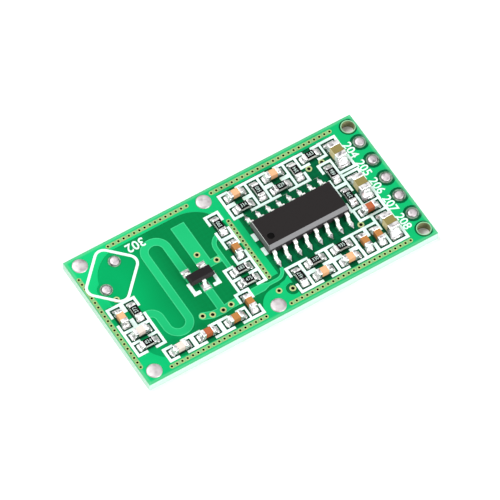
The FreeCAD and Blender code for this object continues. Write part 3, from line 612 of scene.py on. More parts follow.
def grow(name: str, tree: Tree, spots: Sequence[Spot], **sizes: float) -> bpy.types.Object:
    """Runs a tree over a set of places and keeps the result as a plain mesh.

    Args:
        name: Name of the piece.
        tree: The tree to run.
        spots: Where the shape goes.
        sizes: Values of the tree's named inputs, where they differ from the tree's own.

    Returns:
        The piece.
    """
    mesh = bpy.data.meshes.new(name + "_spots")
    mesh.from_pydata([(spot.x * MM, spot.y * MM, spot.z * MM) for spot in spots], [], [])
    turn = mesh.attributes.new("turn", "FLOAT", "POINT")
    stretch = mesh.attributes.new("stretch", "FLOAT_VECTOR", "POINT")
    for index, spot in enumerate(spots):
        turn.data[index].value = spot.turn
        stretch.data[index].vector = spot.stretch
    made = add(name, mesh)
    modifier = made.modifiers.new("pattern", "NODES")
    modifier.node_group = tree.tree
    for key, value in sizes.items():
        modifier[tree.names[key]] = value
    return settle(made)


# Pieces


def add(name: str, data: bpy.types.ID) -> bpy.types.Object:
    """Puts an object into the scene.

    Args:
        name: Name of the object.
        data: Its mesh, text, lamp or camera.

    Returns:
        The object.
    """
    made = bpy.data.objects.new(name, data)
    bpy.context.scene.collection.objects.link(made)
    return made


def evaluated_mesh(made: bpy.types.Object) -> bpy.types.Mesh:
    """The mesh that an object shows, with its modifiers or its text worked out."""
    bpy.context.view_layer.update()
    return bpy.data.meshes.new_from_object(made.evaluated_get(bpy.context.evaluated_depsgraph_get()))


def settle(made: bpy.types.Object) -> bpy.types.Object:
    """Turns an object's modifiers into plain mesh and takes them off.

    Args:
        made: The object.

    Returns:
        The object, without the values that only its pattern needed.
    """
    mesh = evaluated_mesh(made)
    made.modifiers.clear()
    made.data = mesh
    for name in ("turn", "stretch"):
        if name in mesh.attributes:
            mesh.attributes.remove(mesh.attributes[name])
    return made


def soften(made: bpy.types.Object, width: float, segments: int = 2, angle: float = 35.0) -> bpy.types.Object:
    """Rounds the sharp edges of a piece.

    Args:
        made: The piece.
        width: Width of the rounding.
        segments: Faces across it.
        angle: Edges sharper than this are rounded, in degrees.

    Returns:
        The piece, with the rounding in its mesh.
    """
    bevel = made.modifiers.new("edges", "BEVEL")
    bevel.width = width * MM
    bevel.segments = segments
    bevel.limit_method = "ANGLE"
    bevel.angle_limit = math.radians(angle)
    bevel.harden_normals = False
    return settle(made)


def piece(name: str, work: bmesh.types.BMesh, finish: Finish) -> bpy.types.Object:
    """Ends a mesh under construction as a piece in the scene.

    Args:
        name: Name of the piece.
        work: The mesh, which is used up.
        finish: Its finish.

    Returns:
        The piece, with its faces outwards.
    """
    bmesh.ops.recalc_face_normals(work, faces=work.faces[:])
    mesh = bpy.data.meshes.new(name)
    work.to_mesh(mesh)
    work.free()
    return finish.on(add(name, mesh))


def object_from(name: str, vertices: Iterable[Sequence[float]], faces: Iterable[Sequence[int]],
                finish: Finish, smooth: bool = False) -> bpy.types.Object:
    """Makes a piece from its corners and its faces.

    Args:
        name: Name of the piece.
        vertices: The corners.
        faces: The corners of each face, by number.
        finish: Its finish.
        smooth: Whether its faces are shaded as one curved skin.

    Returns:
        The piece.
    """
    work = bmesh.new()
    corners = [work.verts.new([part * MM for part in corner]) for corner in vertices]
    for face in faces:
        work.faces.new([corners[index] for index in face]).smooth = smooth
    return piece(name, work, finish)


def hull(name: str, corners: Sequence[Vector], finish: Finish, flat_angle: float = 1.0) -> bpy.types.Object:
    """Makes the convex solid that a set of corners spans, its flat faces whole.

    Args:
        name: Name of the piece.
        corners: The corners.
        finish: Its finish.
        flat_angle: Faces that meet at less than this become one, in degrees.

    Returns:
        The piece.
    """
    work = bmesh.new()
    for corner in corners:
        work.verts.new(corner * MM)
    bmesh.ops.convex_hull(work, input=work.verts[:])
    bmesh.ops.dissolve_limit(
        work, angle_limit=math.radians(flat_angle), verts=work.verts[:], edges=work.edges[:])
    return piece(name, work, finish)


def plate(name: str, outline: Sequence[Point], low: float, high: float, finish: Finish) -> bpy.types.Object:
    """Makes a flat plate with a given outline.

    Args:
        name: Name of the piece.
        outline: Its corners in order.
        low: Height of its underside.
        high: Height of its top.
        finish: Its finish.

    Returns:
        The plate.
    """
    count = len(outline)
    vertices = [(x, y, z) for z in (low, high) for x, y in outline]
    faces = [tuple(range(count)), tuple(range(count, 2 * count))]
    faces += [(i, (i + 1) % count, count + (i + 1) % count, count + i) for i in range(count)]
    return object_from(name, vertices, faces, finish)


def turned_ring(name: str, x: float, y: float, profile: Sequence[Point], segments: int,
                finish: Finish) -> bpy.types.Object:
    """Makes a ring with a closed profile, turned about an upright axis.

    Args:
        name: Name of the piece.
        x: The axis's place along the board.
        y: The axis's place across the board.
        profile: Radius and height of each corner of the profile.
        segments: Faces round the ring.
        finish: Its finish.

    Returns:
        The ring.
    """
    vertices = []
    faces = []
    count = len(profile)
    for step in range(segments):
        angle = 2 * math.pi * step / segments
        vertices += [(*around(x, y, radius, angle), height) for radius, height in profile]
        here = step * count
        onward = (step + 1) % segments * count
        faces += [(here + i, onward + i, onward + (i + 1) % count, here + (i + 1) % count)
                  for i in range(count)]
    return object_from(name, vertices, faces, finish)


def join(name: str, parts: Sequence[bpy.types.Object]) -> bpy.types.Object:
    """Joins pieces into one.

    Args:
        name: Name of the result.
        parts: The pieces, which are used up.

    Returns:
        The joined piece.
    """
    with bpy.context.temp_override(active_object=parts[0], selected_editable_objects=list(parts)):
        bpy.ops.object.join()
    parts[0].name = name
    parts[0].data.name = name
    return parts[0]


def seat(made: bpy.types.Object, slot: str, *stands_for: str) -> bpy.types.Object:
    """Fixes a finished piece to the board and reports it.

    Args:
        made: The piece.
        slot: The record's material slot of the piece; not used.
        stands_for: The nodes that it stands for.

    Returns:
        The piece.
    """
    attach(made, BODY)
    if stands_for:
        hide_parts(*stands_for)
    log.info("%s: %d faces", made.name, len(made.data.polygons))
    return made


def nodes_named(prefix: str) -> list[str]:
    """The nodes whose names are a prefix and a number.

    Args:
        prefix: The prefix, without its last underscore.

    Returns:
        Their names in order of number.
    """
    start = prefix + "_"
    found = [name for name in frame["nodes"] if name.startswith(start) and name[len(start):].isdigit()]
    return sorted(found, key=lambda name: int(name[len(start):]))


def span(node: str) -> tuple[Vector, Vector]:
    """A node's centre and size."""
    low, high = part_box(node)
    return (low + high) / 2 / MM, (high - low) / MM


@dataclass(frozen=True)
class Lettering:
    """Plain digits printed in white.

    Weight fattens each stroke, as a share of the letter size. Spacing and squeeze are 1 for the usual
    distance between digits and width of a digit. Em is the letter size for a digit of height 1.
    """

    height: float
    thickness: float
    weight: float
    spacing: float = 1.0
    squeeze: float = 1.0
    em: float = 1.4
    curve_steps: int = 3

    def number(self, text: str, x: float, y: float, z: float, turn: float) -> bpy.types.Object:
        """Prints a number, centred on a place and lying flat.

        Args:
            text: The digits.
            x: Place along the board.
            y: Place across the board.
            z: Height of their underside.
            turn: Turn about the upright axis, in radians.

        Returns:
            The digits as a mesh.
        """
        scale = self.height * self.em * MM
        curve = bpy.data.curves.new("number", "FONT")
        curve.body = text
        curve.size = 1.0
        curve.space_character = self.spacing
        curve.align_x = "CENTER"
        curve.align_y = "CENTER"
        curve.offset = self.weight
        curve.extrude = self.thickness * MM / scale / 2
        curve.resolution_u = self.curve_steps
        holder = add("number_curve", curve)
        mesh = evaluated_mesh(holder)
        bpy.data.objects.remove(holder)
        place = Matrix.Translation((x * MM, y * MM, (z + self.thickness / 2) * MM))
        shape = Matrix.Diagonal((scale * self.squeeze, scale, scale, 1.0))
        mesh.transform(place @ Matrix.Rotation(turn, 4, "Z") @ shape)
        return Finish.PRINT.on(add("number_" + text, mesh))


# Sub-assemblies


@dataclass
class Board:
    """The laminate with its copper layer, its print and its open corner holes."""

    liner: float = 0.015
    collar: float = 0.06
    collar_rise: float = 0.055
    ring_segments: int = 48
    rim_width: float = 0.09
    rim_height: float = 0.004
    weld: float = 0.001
    slack: float = 0.01
    level: float = 0.9
    flat_angle: float = 0.5
    traces: tuple[str, ...] = (
        "antenna_trace", "resonator_stub", "emitter_strip", "bias_trace", "output_trace")

    def dress(self) -> None:
        """Gives the nodes of the board their finishes."""
        finishes = {
            "circuit_board": Finish.LAMINATE,
            "ground_copper": Finish.GROUND,
            **dict.fromkeys(self.traces, Finish.TRACE),
            "legend_frames": Finish.PRINT,
            "sensor_outline": Finish.PRINT,
            "component_pads": Finish.PAD,
            "plated_rings": Finish.RING,
        }
        for node, finish in finishes.items():
            finish.on(frame["nodes"][node])
            log.info("%s: %s", node, finish.value.name)

    def hole_liners(self) -> bpy.types.Object:
        """Makes the plated walls and collars of the two open corner holes.

        Returns:
            Both as one piece.
        """
        low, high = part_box("header_solder_1")
        x = (low.x + high.x) / 2 / MM
        mount = frame["record"]["mounts"][0]
        reach = mount["dims"]["spacing_y_mm"] / 2
        hole = mount["dims"]["hole_r_mm"]
        inner = hole - self.liner
        outer = hole + self.collar
        top = LAMINATE_TOP + self.collar_rise
        profile = [(inner, 0.0), (inner, top), (outer, top), (outer, LAMINATE_TOP), (hole, LAMINATE_TOP),
                   (hole, 0.0)]
        parts = [turned_ring(f"liner_{index}", x, y, profile, self.ring_segments, Finish.HOLE_WALL)
                 for index, y in enumerate((reach, -reach))]
        return seat(join("corner_hole_liners", parts), "laminate")

    def trace_rims(self) -> bpy.types.Object:
        """Makes the pale lines along the traces' edges, where the mask thins over the copper's corner; they
        also stand as a painted highlight along those edges.
        """
        return seat(join("trace_rims", [self.rim(node) for node in self.traces]), "masked_trace")

    def rim(self, node: str) -> bpy.types.Object:
        """Makes the pale line along the edge of one trace, from a copy of its top.

        Args:
            node: The trace's node.

        Returns:
            The line.
        """
        work = bmesh.new()
        work.from_mesh(frame["nodes"][node].data)
        bmesh.ops.remove_doubles(work, verts=work.verts[:], dist=self.weld * MM)
        work.normal_update()
        top = max(vertex.co.z for vertex in work.verts) - self.slack * MM
        rest = [face for face in work.faces
                if face.normal.z < self.level or face.calc_center_median().z < top]
        bmesh.ops.delete(work, geom=rest, context="FACES")
        bmesh.ops.dissolve_limit(
            work, angle_limit=math.radians(self.flat_angle), verts=work.verts[:], edges=work.edges[:])
        inner = work.faces[:]
        bmesh.ops.inset_region(
            work, faces=inner, thickness=self.rim_width * MM, use_even_offset=True, use_boundary=True)
        bmesh.ops.delete(work, geom=inner, context="FACES")
        raised = bmesh.ops.extrude_face_region(work, geom=work.faces[:], use_keep_orig=True)
        lifted = [item for item in raised["geom"] if isinstance(item, bmesh.types.BMVert)]
        bmesh.ops.translate(work, verts=lifted, vec=(0.0, 0.0, self.rim_height * MM))
        return piece(node + "_rim", work, Finish.TRACE_RIM)


@dataclass
class ViaRows:
    """The stitching vias: their pale stripes, their rings and their dark mouths, which are painted shade in
    the open holes.

    A run is the first place and the number of vias of a row. The lone vias stand in the strip under the
    transistor, in the stub, in the ground and on lands of their own.
    """

    pitch: float = 0.635
    middle_pitch: float = 0.561
    row_gap: float = 0.73
    left_gap: float = 0.35
    middle_x: float = -0.275
    far_runs: tuple[tuple[float, int], ...] = ((-12.57, 16), (-0.005, 24))
    near_runs: tuple[tuple[float, int], ...] = ((-14.475, 19), (0.03, 24))
    left_run: tuple[float, int] = (-6.19, 20)
    middle_run: tuple[float, int] = (-3.91, 15)
    lone: tuple[Point, ...] = (
        (-8.62, -4.34), (-7.64, -4.72), (-6.41, -4.82), (-5.37, -4.67),
        (-5.23, 2.18), (-3.79, 0.62), (-15.15, 1.90), (-0.275, -5.84),
        (1.10, -6.32), (10.30, 5.02), (11.88, 5.02), (11.25, -3.51))
    ring_radius: float = 0.18
    ring_width: float = 0.1
    ring_height: float = 0.016
    ring_segments: int = 14
    mouth_radius: float = 0.145
    mouth_segments: int = 12
    sink: float = 0.004
    stripe_width: float = 0.5
    stripe_height: float = 0.012
    stripe_end_steps: int = 8
    lone_radius: float = 0.27
    lone_mouth: float = 1.7
    under_ring_z: float = 0.002
    under_ring_stretch: float = 0.2
    under_mouth_z: float = 0.0005
    under_mouth_stretch: float = 0.1

    def rows(self) -> list[list[Point]]:
        """Works out the rows along the edges and down the middle.

        Returns:
            The places of the vias in each row.
        """
        low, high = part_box("circuit_board")
        left, near, far = low.x / MM, low.y / MM, high.y / MM
        rows = [self.row(x, far - self.row_gap, self.pitch, 0, count) for x, count in self.far_runs]
        rows += [self.row(x, near + self.row_gap, self.pitch, 0, count) for x, count in self.near_runs]
        rows.append(self.row(left + self.left_gap, self.left_run[0], 0, self.pitch, self.left_run[1]))
        rows.append(self.row(self.middle_x, self.middle_run[0], 0, self.middle_pitch, self.middle_run[1]))
        return rows

    @staticmethod
    def row(x: float, y: float, step_x: float, step_y: float, count: int) -> list[Point]:
        """Evenly spaced places from the first one on."""
        return [(x + step_x * index, y + step_y * index) for index in range(count)]

    def ring_tree(self, finish: Finish) -> Tree:
        """Makes the tree of a flat ring on each place.

        Args:
            finish: The rings' finish.

        Returns:
            The tree.
        """
        tree = Tree(finish.value.name)
        radius = tree.number("Radius", self.ring_radius * MM)
        width = tree.number("Width", self.ring_width * MM)
        height = tree.number("Height", self.ring_height * MM)
        path = tree.node("GeometryNodeCurvePrimitiveCircle", {
            "Resolution": self.ring_segments, "Radius": radius})
        bar = tree.node("GeometryNodeCurvePrimitiveQuadrilateral", {"Width": width, "Height": height})
        swept = tree.node("GeometryNodeCurveToMesh", {
            "Curve": path.outputs[0], "Profile Curve": bar.outputs[0], "Fill Caps": False})
        tree.repeat(swept.outputs[0], finish)
        return tree

    def mouth_tree(self) -> Tree:
        """Makes the tree of a dark mouth on each place: a disc of painted shade where the hole opens.

        Returns:
            The tree.
        """
        tree = Tree("via_mouth")
        radius = tree.number("Radius", self.mouth_radius * MM)
        depth = tree.number("Depth", self.ring_height * MM)
        plug = tree.node("GeometryNodeMeshCylinder", {
            "Vertices": self.mouth_segments, "Side Segments": 1, "Fill Segments": 1,
            "Radius": radius, "Depth": depth})
        tree.repeat(plug.outputs[0], Finish.HOLE_SHADE)
        return tree

    def stripes(self) -> bpy.types.Object:
        """Makes the pale stripes that the rows stand in, with rounded ends.

        Returns:
            The stripes as one piece.
        """
        parts = []
        half = self.stripe_width / 2
        for number, row in enumerate(self.rows()):
            (x0, y0), (x1, y1) = row[0], row[-1]
            along = math.atan2(y1 - y0, x1 - x0)
            outline = []
            for x, y, start in ((x1, y1, along - math.pi / 2), (x0, y0, along + math.pi / 2)):
                outline += [around(x, y, half, start + math.pi * step / self.stripe_end_steps)
                            for step in range(self.stripe_end_steps + 1)]
            parts.append(plate(f"stripe_{number}", outline, COPPER_TOP, COPPER_TOP + self.stripe_height,
                               Finish.STRIPE))
        return seat(join("via_stripes", parts), "masked_ground")

    def build(self) -> None:
        """Makes the stripes, the rings and the mouths, on both faces of the board."""
        self.stripes()
        rows = [place for row in self.rows() for place in row]
        places = rows + list(self.lone)
        top = COPPER_TOP + self.stripe_height + self.ring_height / 2 - self.sink
        lone_top = COPPER_TOP + self.ring_height / 2
        wide = (self.lone_radius / self.ring_radius,) * 2 + (1.0,)
        wide_mouth = (self.lone_mouth,) * 2 + (1.0,)
        rings = [Spot(x, y, top) for x, y in rows]
        rings += [Spot(x, y, self.under_ring_z, stretch=(1.0, 1.0, self.under_ring_stretch))
                  for x, y in places]
        lone_rings = [Spot(x, y, lone_top, stretch=wide) for x, y in self.lone]
        # the dark mouths, on both faces, are painted shade in the open holes
        mouths = [Spot(x, y, top - self.sink) for x, y in rows]
        mouths += [Spot(x, y, lone_top - self.sink, stretch=wide_mouth) for x, y in self.lone]
        mouths += [Spot(x, y, self.under_mouth_z, stretch=(1.0, 1.0, self.under_mouth_stretch))
                   for x, y in places]
        seat(grow("via_rings", self.ring_tree(Finish.VIA_RING), rings), "tinned_pad")
        seat(grow("lone_via_rings", self.ring_tree(Finish.LONE_RING), lone_rings), "tinned_pad")
        seat(grow("via_mouths", self.mouth_tree(), mouths), "moulding")


@dataclass
class SolderJoints:
    """Solder in the round holes: steep buttons on the rings, and low wide ones on the ground points.

    A crown is a list of shares of the button's radius, each with its drop below the top.
    """

    segments: int = 40
    unevenness: float = 0.012
    even_below: float = 0.01
    bore: float = 0.545
    pin_radius: float = 0.5
    pin_rise: float = 0.14
    pin_crown: tuple[Point, ...] = ((0.5, 0.006), (0.82, 0.025), (0.96, 0.07), (1.0, 0.12))
    pin_taper: float = 0.015
    pin_fillet: float = 0.05
    gap_depth: float = 0.3
    film: float = 0.012
    gap_shade_drop: float = 0.004
    ground_radius: float = 0.85
    ground_hole: float = 0.735
    ground_rise: float = 0.15
    ground_crown: tuple[Point, ...] = ((0.4, 0.01), (0.72, 0.035), (0.9, 0.075))
    ground_brim: float = 0.01
    ground_step: float = 0.005

    @staticmethod
    def crown(radius: float, top: float, steps: Sequence[Point]) -> list[Point]:
        """The upper part of a profile, from its middle outwards."""
        return [(0.0, top)] + [(radius * share, top - drop) for share, drop in steps]

    def pin_profile(self) -> list[Point]:
        """Draws a steep button that stands just clear of its ring and fills its hole lower down.

        Returns:
            Radius and height of each corner.
        """
        floor = PAD_TOP - self.gap_depth
        return self.crown(self.pin_radius, PAD_TOP + self.pin_rise, self.pin_crown) + [
            (self.pin_radius - self.pin_taper, floor + self.pin_fillet),
            (self.bore, floor), (self.bore, 0.0), (0.0, 0.0)]

    def ground_profile(self) -> list[Point]:
        """Draws a wide, low button in a large hole.

        Returns:
            Radius and height of each corner.
        """
        return self.crown(self.ground_radius, COPPER_TOP + self.ground_rise, self.ground_crown) + [
            (self.ground_radius, COPPER_TOP + self.ground_brim), (self.ground_radius, COPPER_TOP),
            (self.ground_hole, COPPER_TOP - self.ground_step), (self.ground_hole, 0.0), (0.0, 0.0)]

    def joint(self, name: str, x: float, y: float, profile: Sequence[Point], finish: Finish,
              seed: int) -> bpy.types.Object:
        """Makes a turned lump with a slightly uneven skin.

        Args:
            name: Name of the piece.
            x: Place of its axis along the board.
            y: Place of its axis across the board.
            profile: Radius and height from the crown's middle outwards and down to the underside's middle.
            finish: Its finish.
            seed: Fixes its unevenness.

        Returns:
            The lump, closed at both poles.
        """
        chance = random.Random(seed)
        waves = [(chance.uniform(-1, 1), chance.uniform(0, 2 * math.pi), turn) for turn in (1, 2, 3)]
        middle = profile[1:-1]
        vertices = [(x, y, profile[0][1])]
        for radius, height in middle:
            for step in range(self.segments):
                angle = 2 * math.pi * step / self.segments
                wobble = sum(size * math.cos(turn * angle + phase) for size, phase, turn in waves)
                lift = self.unevenness * wobble if height > PAD_TOP + self.even_below else 0.0
                vertices.append((*around(x, y, radius, angle), height + lift))
        vertices.append((x, y, profile[-1][1]))
        last_ring = 1 + (len(middle) - 1) * self.segments
        faces = []
        for step in range(self.segments):
            onward = (step + 1) % self.segments
            faces.append((0, 1 + step, 1 + onward))
            for ring in range(1, last_ring, self.segments):
                lower = ring + self.segments
                faces.append((ring + step, lower + step, lower + onward, ring + onward))
            faces.append((len(vertices) - 1, last_ring + onward, last_ring + step))
        return object_from(name, vertices, faces, finish, smooth=True)

    def painted_shade(self) -> bpy.types.Object:
        """Makes the dark liners on the wall of the narrow gap between each button and its ring: painted shade
        in the gap.

        Returns:
            The liners as one piece.
        """
        # painted shade: a dark liner stands for the shade deep in the gap round each button
        inner = self.bore - self.film
        high = PAD_TOP - self.gap_shade_drop
        low = PAD_TOP - self.gap_depth
        profile = [(self.bore, high), (self.bore, low), (inner, low), (inner, high)]
        parts = []
        for node in nodes_named("header_solder") + nodes_named("sensor_solder"):
            centre, _ = span(node)
            parts.append(turned_ring(
                node + "_film", centre.x, centre.y, profile, self.segments, Finish.HOLE_SHADE))
        return seat(join("flux_films", parts), "solder")

    def build(self) -> None:
        """Makes the joints of the pins, the light sensor and the ground points."""
        for prefix, finish, profile in (
            ("header_solder", Finish.PIN_SOLDER, self.pin_profile()),
            ("sensor_solder", Finish.PIN_SOLDER, self.pin_profile()),
            ("ground_solder", Finish.GROUND_SOLDER, self.ground_profile()),
        ):
            nodes = nodes_named(prefix)
            parts = []
            for number, node in enumerate(nodes):
                centre, _ = span(node)
                parts.append(self.joint(node + "_lump", centre.x, centre.y, profile, finish,
                                        SEED * len(prefix) + number))
            seat(join(prefix + "_joints", parts), "solder", *nodes)
        self.painted_shade()


@dataclass
class Chip:
    """A chip part as it lies: its centre, length, width and height, and its turn in radians."""

    node: str
    x: float
    y: float
    length: float
    width: float
    height: float
    turn: float

    @classmethod
    def from_node(cls, node: str, skew: float) -> "Chip":
        """Reads a chip's place from its node.

        Args:
            node: The chip's node.
            skew: The small turn of a placed part, in radians.

        Returns:
            The chip.
        """
        centre, size = span(node)
        upright = size.y > size.x
        length, width = (size.y, size.x) if upright else (size.x, size.y)
        return cls(node, centre.x, centre.y, length, width, size.z, (math.pi / 2 if upright else 0.0) + skew)

    def spot(self, along: float, z: float, stretch: Stretch, turn: float = 0.0) -> Spot:
        """A place on the chip's middle line."""
        x, y = around(self.x, self.y, along, self.turn)
        return Spot(x, y, z, self.turn + turn, stretch)


@dataclass(frozen=True)
class ChipKind:
    """What one kind of chip has of its own.

    End is the length of an end cap, reach that of the solder before it, and share the solder's height as a
    share of the chip's. Window is how far the opening in the mask goes past each end.
    """

    end: float
    reach: float
    share: float
    window: float


@dataclass
class ChipParts:
    """All resistors and capacitors: bodies, coats, end caps, numbers and the solder at their ends."""

    kinds: dict[str, ChipKind] = field(default_factory=lambda: {
        "resistor": ChipKind(0.34, 0.4, 0.9, 0.62),
        "capacitor": ChipKind(0.42, 0.4, 0.72, 0.62),
        "supply_capacitor": ChipKind(0.56, 0.68, 0.72, 0.91),
    })
    skew: float = 0.022
    side_window: float = 0.18
    window_depth: float = 0.01
    window_rise: float = 0.004
    body_inset: float = 0.05
    body_lift: float = 0.02
    body_lap: float = 0.1
    body_edge: float = 0.03
    coat_width: float = 0.79
    coat_height: float = 0.05
    coat_sink: float = 0.03
    coat_lap: float = 0.2
    coat_edge: float = 0.015
    print_sink: float = 0.005
    cap_edge: float = 0.07
    solder_lap: float = 0.02
    fillet_grid: tuple[int, int] = (8, 9)
    fillet_hollow: float = 2.2
    fillet_spread: float = 0.16
    fillet_toe: float = 0.12
    fillet_crown: float = 0.3
    fillet_toe_crown: float = 0.6
    fillet_rounding: float = 0.22
    lead_spread: float = -0.82
    lead_hollow: float = 1.3
    lettering: Lettering = Lettering(0.43, 0.012, -0.012, 1.08, 0.76)
    codes: tuple[str, ...] = (
        "273", "824", "390", "683", "475", "334", "560", "829",
        "394", "563", "686", "278", "457", "330", "935")
    white_bodied: tuple[str, ...] = ("capacitor_2", "capacitor_3")
    red_bodied: tuple[str, ...] = ("capacitor_4", "capacitor_10")
    chips: dict[str, list[Chip]] = field(default_factory=dict)

    def gather(self) -> None:
        """Reads every chip's place from the nodes."""
        chance = random.Random(SEED)
        for prefix in self.kinds:
            self.chips[prefix] = [Chip.from_node(node, chance.uniform(-self.skew, self.skew))
                                  for node in nodes_named(prefix)]

    def each(self) -> list[tuple[ChipKind, Chip]]:
        """Every chip with what its kind has."""
        return [(kind, chip) for prefix, kind in self.kinds.items() for chip in self.chips[prefix]]

    @staticmethod
    def block_tree(name: str, finish: Finish) -> Tree:
        """Makes the tree of a block of unit size on each place, which the place stretches.

        Args:
            name: Name of the tree.
            finish: The blocks' finish.

        Returns:
            The tree.
        """
        tree = Tree(name)
        side = tree.number("Side", MM)
        cube = tree.node("GeometryNodeMeshCube", {
            "Size": tree.vector(side, side, side), "Vertices X": 2, "Vertices Y": 2, "Vertices Z": 2})
        tree.repeat(cube.outputs[0], finish)
        return tree

    def fillet_tree(self, name: str, finish: Finish) -> Tree:
        """Makes the tree of a solder fillet on each place: a hollow slope that spreads as it runs out.

        Args:
            name: Name of the tree.
            finish: The fillets' finish.

        Returns:
            The tree.
        """
        tree = Tree(name)
        side = tree.number("Side", MM)
        hollow = tree.number("Hollow", self.fillet_hollow)
        spread = tree.number("Spread", self.fillet_spread)
        toe = tree.number("Toe", self.fillet_toe)
        block = tree.node("GeometryNodeMeshCube", {
            "Size": (1.0, 1.0, 1.0), "Vertices X": self.fillet_grid[0],
            "Vertices Y": self.fillet_grid[1], "Vertices Z": 2})
        x, y, z = tree.position()
        out = x + 0.5
        across = y * 2.0
        rest = out * -1.0 + 1.0
        crown = (across * across) * -self.fillet_crown + 1.0
        toe_crown = (across ** 4.0) * -self.fillet_toe_crown + 1.0
        height = (rest ** hollow) * (toe * -1.0 + 1.0) * crown + toe * toe_crown
        rounded = (across * across) * (out * -self.fillet_rounding) + 1.0
        place = tree.vector(out * rounded * side, y * (out * spread + 1.0) * side, (z + 0.5) * height * side)
        moved = tree.node("GeometryNodeSetPosition", {"Geometry": block.outputs[0], "Position": place})
        tree.repeat(moved.outputs[0], finish, smooth=True)
        return tree

    def build_shaded_openings(self) -> None:
        """Makes the dark openings that the mask leaves round each chip's pads: bare laminate, darkened
        further as painted shade.
        """
        low = LAMINATE_TOP - self.window_depth
        high = COPPER_TOP + self.window_rise
        spots = []
        for kind, chip in self.each():
            size = (chip.length + 2 * kind.window, chip.width + 2 * self.side_window, high - low)
            square = replace(chip, turn=round(chip.turn / (math.pi / 2)) * math.pi / 2)
            spots.append(square.spot(0, (low + high) / 2, size))
        seat(grow("mask_openings", self.block_tree("mask_opening", Finish.SHADOW), spots), "laminate")

    def ceramic(self, node: str, slot: str) -> Finish:
        """Picks the ceramic of a body, by its node where that stands out, and otherwise by its slot.

        Args:
            node: The chip's node.
            slot: The node's material slot.

        Returns:
            The finish.
        """
        by_node = {
            **dict.fromkeys(self.white_bodied, Finish.WHITE_CERAMIC),
            **dict.fromkeys(self.red_bodied, Finish.RED_CERAMIC),
        }
        by_slot = {
            "resistor": Finish.ALUMINA,
            "supply_capacitor": Finish.OLIVE_CERAMIC,
            "capacitor_pale": Finish.PALE_CERAMIC,
            "capacitor_brown": Finish.BROWN_CERAMIC,
        }
        return by_node.get(node) or by_slot[slot]

    def build_bodies(self) -> None:
        """Makes the ceramic bodies, each kind in its own finish."""
        slots = {part["node"]: part["material_slot"] for part in frame["record"]["subparts"]}
        groups: dict[Finish, list[tuple[ChipKind, Chip]]] = {finish: [] for finish in (
            Finish.ALUMINA, Finish.OLIVE_CERAMIC, Finish.PALE_CERAMIC, Finish.WHITE_CERAMIC,
            Finish.BROWN_CERAMIC, Finish.RED_CERAMIC)}
        for kind, chip in self.each():
            groups[self.ceramic(chip.node, slots[chip.node])].append((kind, chip))
        for finish, members in groups.items():
            spots = []
            for kind, chip in members:
                rise = chip.height - self.body_inset
                size = (chip.length - 2 * kind.end + self.body_lap, chip.width - self.body_inset, rise)
                spots.append(chip.spot(0, PAD_TOP + self.body_lift + rise / 2, size))
            name = finish.value.name + "_bodies"
            made = soften(grow(name, self.block_tree(name, finish), spots), self.body_edge)
            nodes = [chip.node for _, chip in members]
            seat(made, slots[nodes[0]], *nodes)

    def build_coats(self) -> None:
        """Makes the black coats on the resistors and the numbers on them."""
        end = self.kinds["resistor"].end
        spots = []
        for chip in self.chips["resistor"]:
            size = (chip.length - 2 * end + self.coat_lap, self.coat_width, self.coat_height)
            spots.append(chip.spot(0, PAD_TOP + chip.height - self.coat_sink, size))
        coats = grow("resistor_coats", self.block_tree("resistor_coat", Finish.COAT), spots)
        seat(soften(coats, self.coat_edge), "resistor")
        numbers = []
        for chip, code in zip(self.chips["resistor"], self.codes):
            under = PAD_TOP + chip.height - self.print_sink
            numbers.append(self.lettering.number(code, chip.x, chip.y, under, chip.turn))
        seat(join("resistor_numbers", numbers), "print")

    def build_ends(self) -> None:
        """Makes the plated caps on both ends of every chip."""
        spots = []
        for kind, chip in self.each():
            for sign in (-1, 1):
                along = sign * (chip.length / 2 - kind.end / 2)
                size = (kind.end, chip.width, chip.height)
                spots.append(chip.spot(along, PAD_TOP + chip.height / 2, size))
        ends = grow("chip_ends", self.block_tree("chip_end", Finish.CAP_END), spots)
        seat(soften(ends, self.cap_edge, 3), "solder")

    def build_solder(self, broad: Sequence[Spot], pointed: Sequence[Spot]) -> None:
        """Makes the solder at the ends of the chips and at the toes of the leads.

        Args:
            broad: Places and sizes of the fillets that cover a lead's land.
            pointed: Those that run out to a point.
        """
        spots = list(broad)
        for kind, chip in self.each():
            size = (kind.reach, chip.width + self.solder_lap, chip.height * kind.share)
            for turn in (0.0, math.pi):
                along = (chip.length / 2 - self.solder_lap) * math.cos(turn)
                spots.append(chip.spot(along, PAD_TOP, size, turn))
        tree = self.fillet_tree("solder_fillet", Finish.SOLDER)
        seat(grow("solder_runs", tree, spots), "solder", "solder_fillets")
        seat(grow("lead_solder", tree, pointed, Spread=self.lead_spread, Hollow=self.lead_hollow), "solder")

    def build(self, broad: Sequence[Spot], pointed: Sequence[Spot]) -> None:
        """Makes everything of the chips, and the solder of the leads with theirs.

        Args:
            broad: Places and sizes of the fillets that cover a lead's land.
            pointed: Those that run out to a point.
        """
        self.gather()
        self.build_shaded_openings()
        self.build_bodies()
        self.build_coats()
        self.build_ends()
        self.build_solder(broad, pointed)


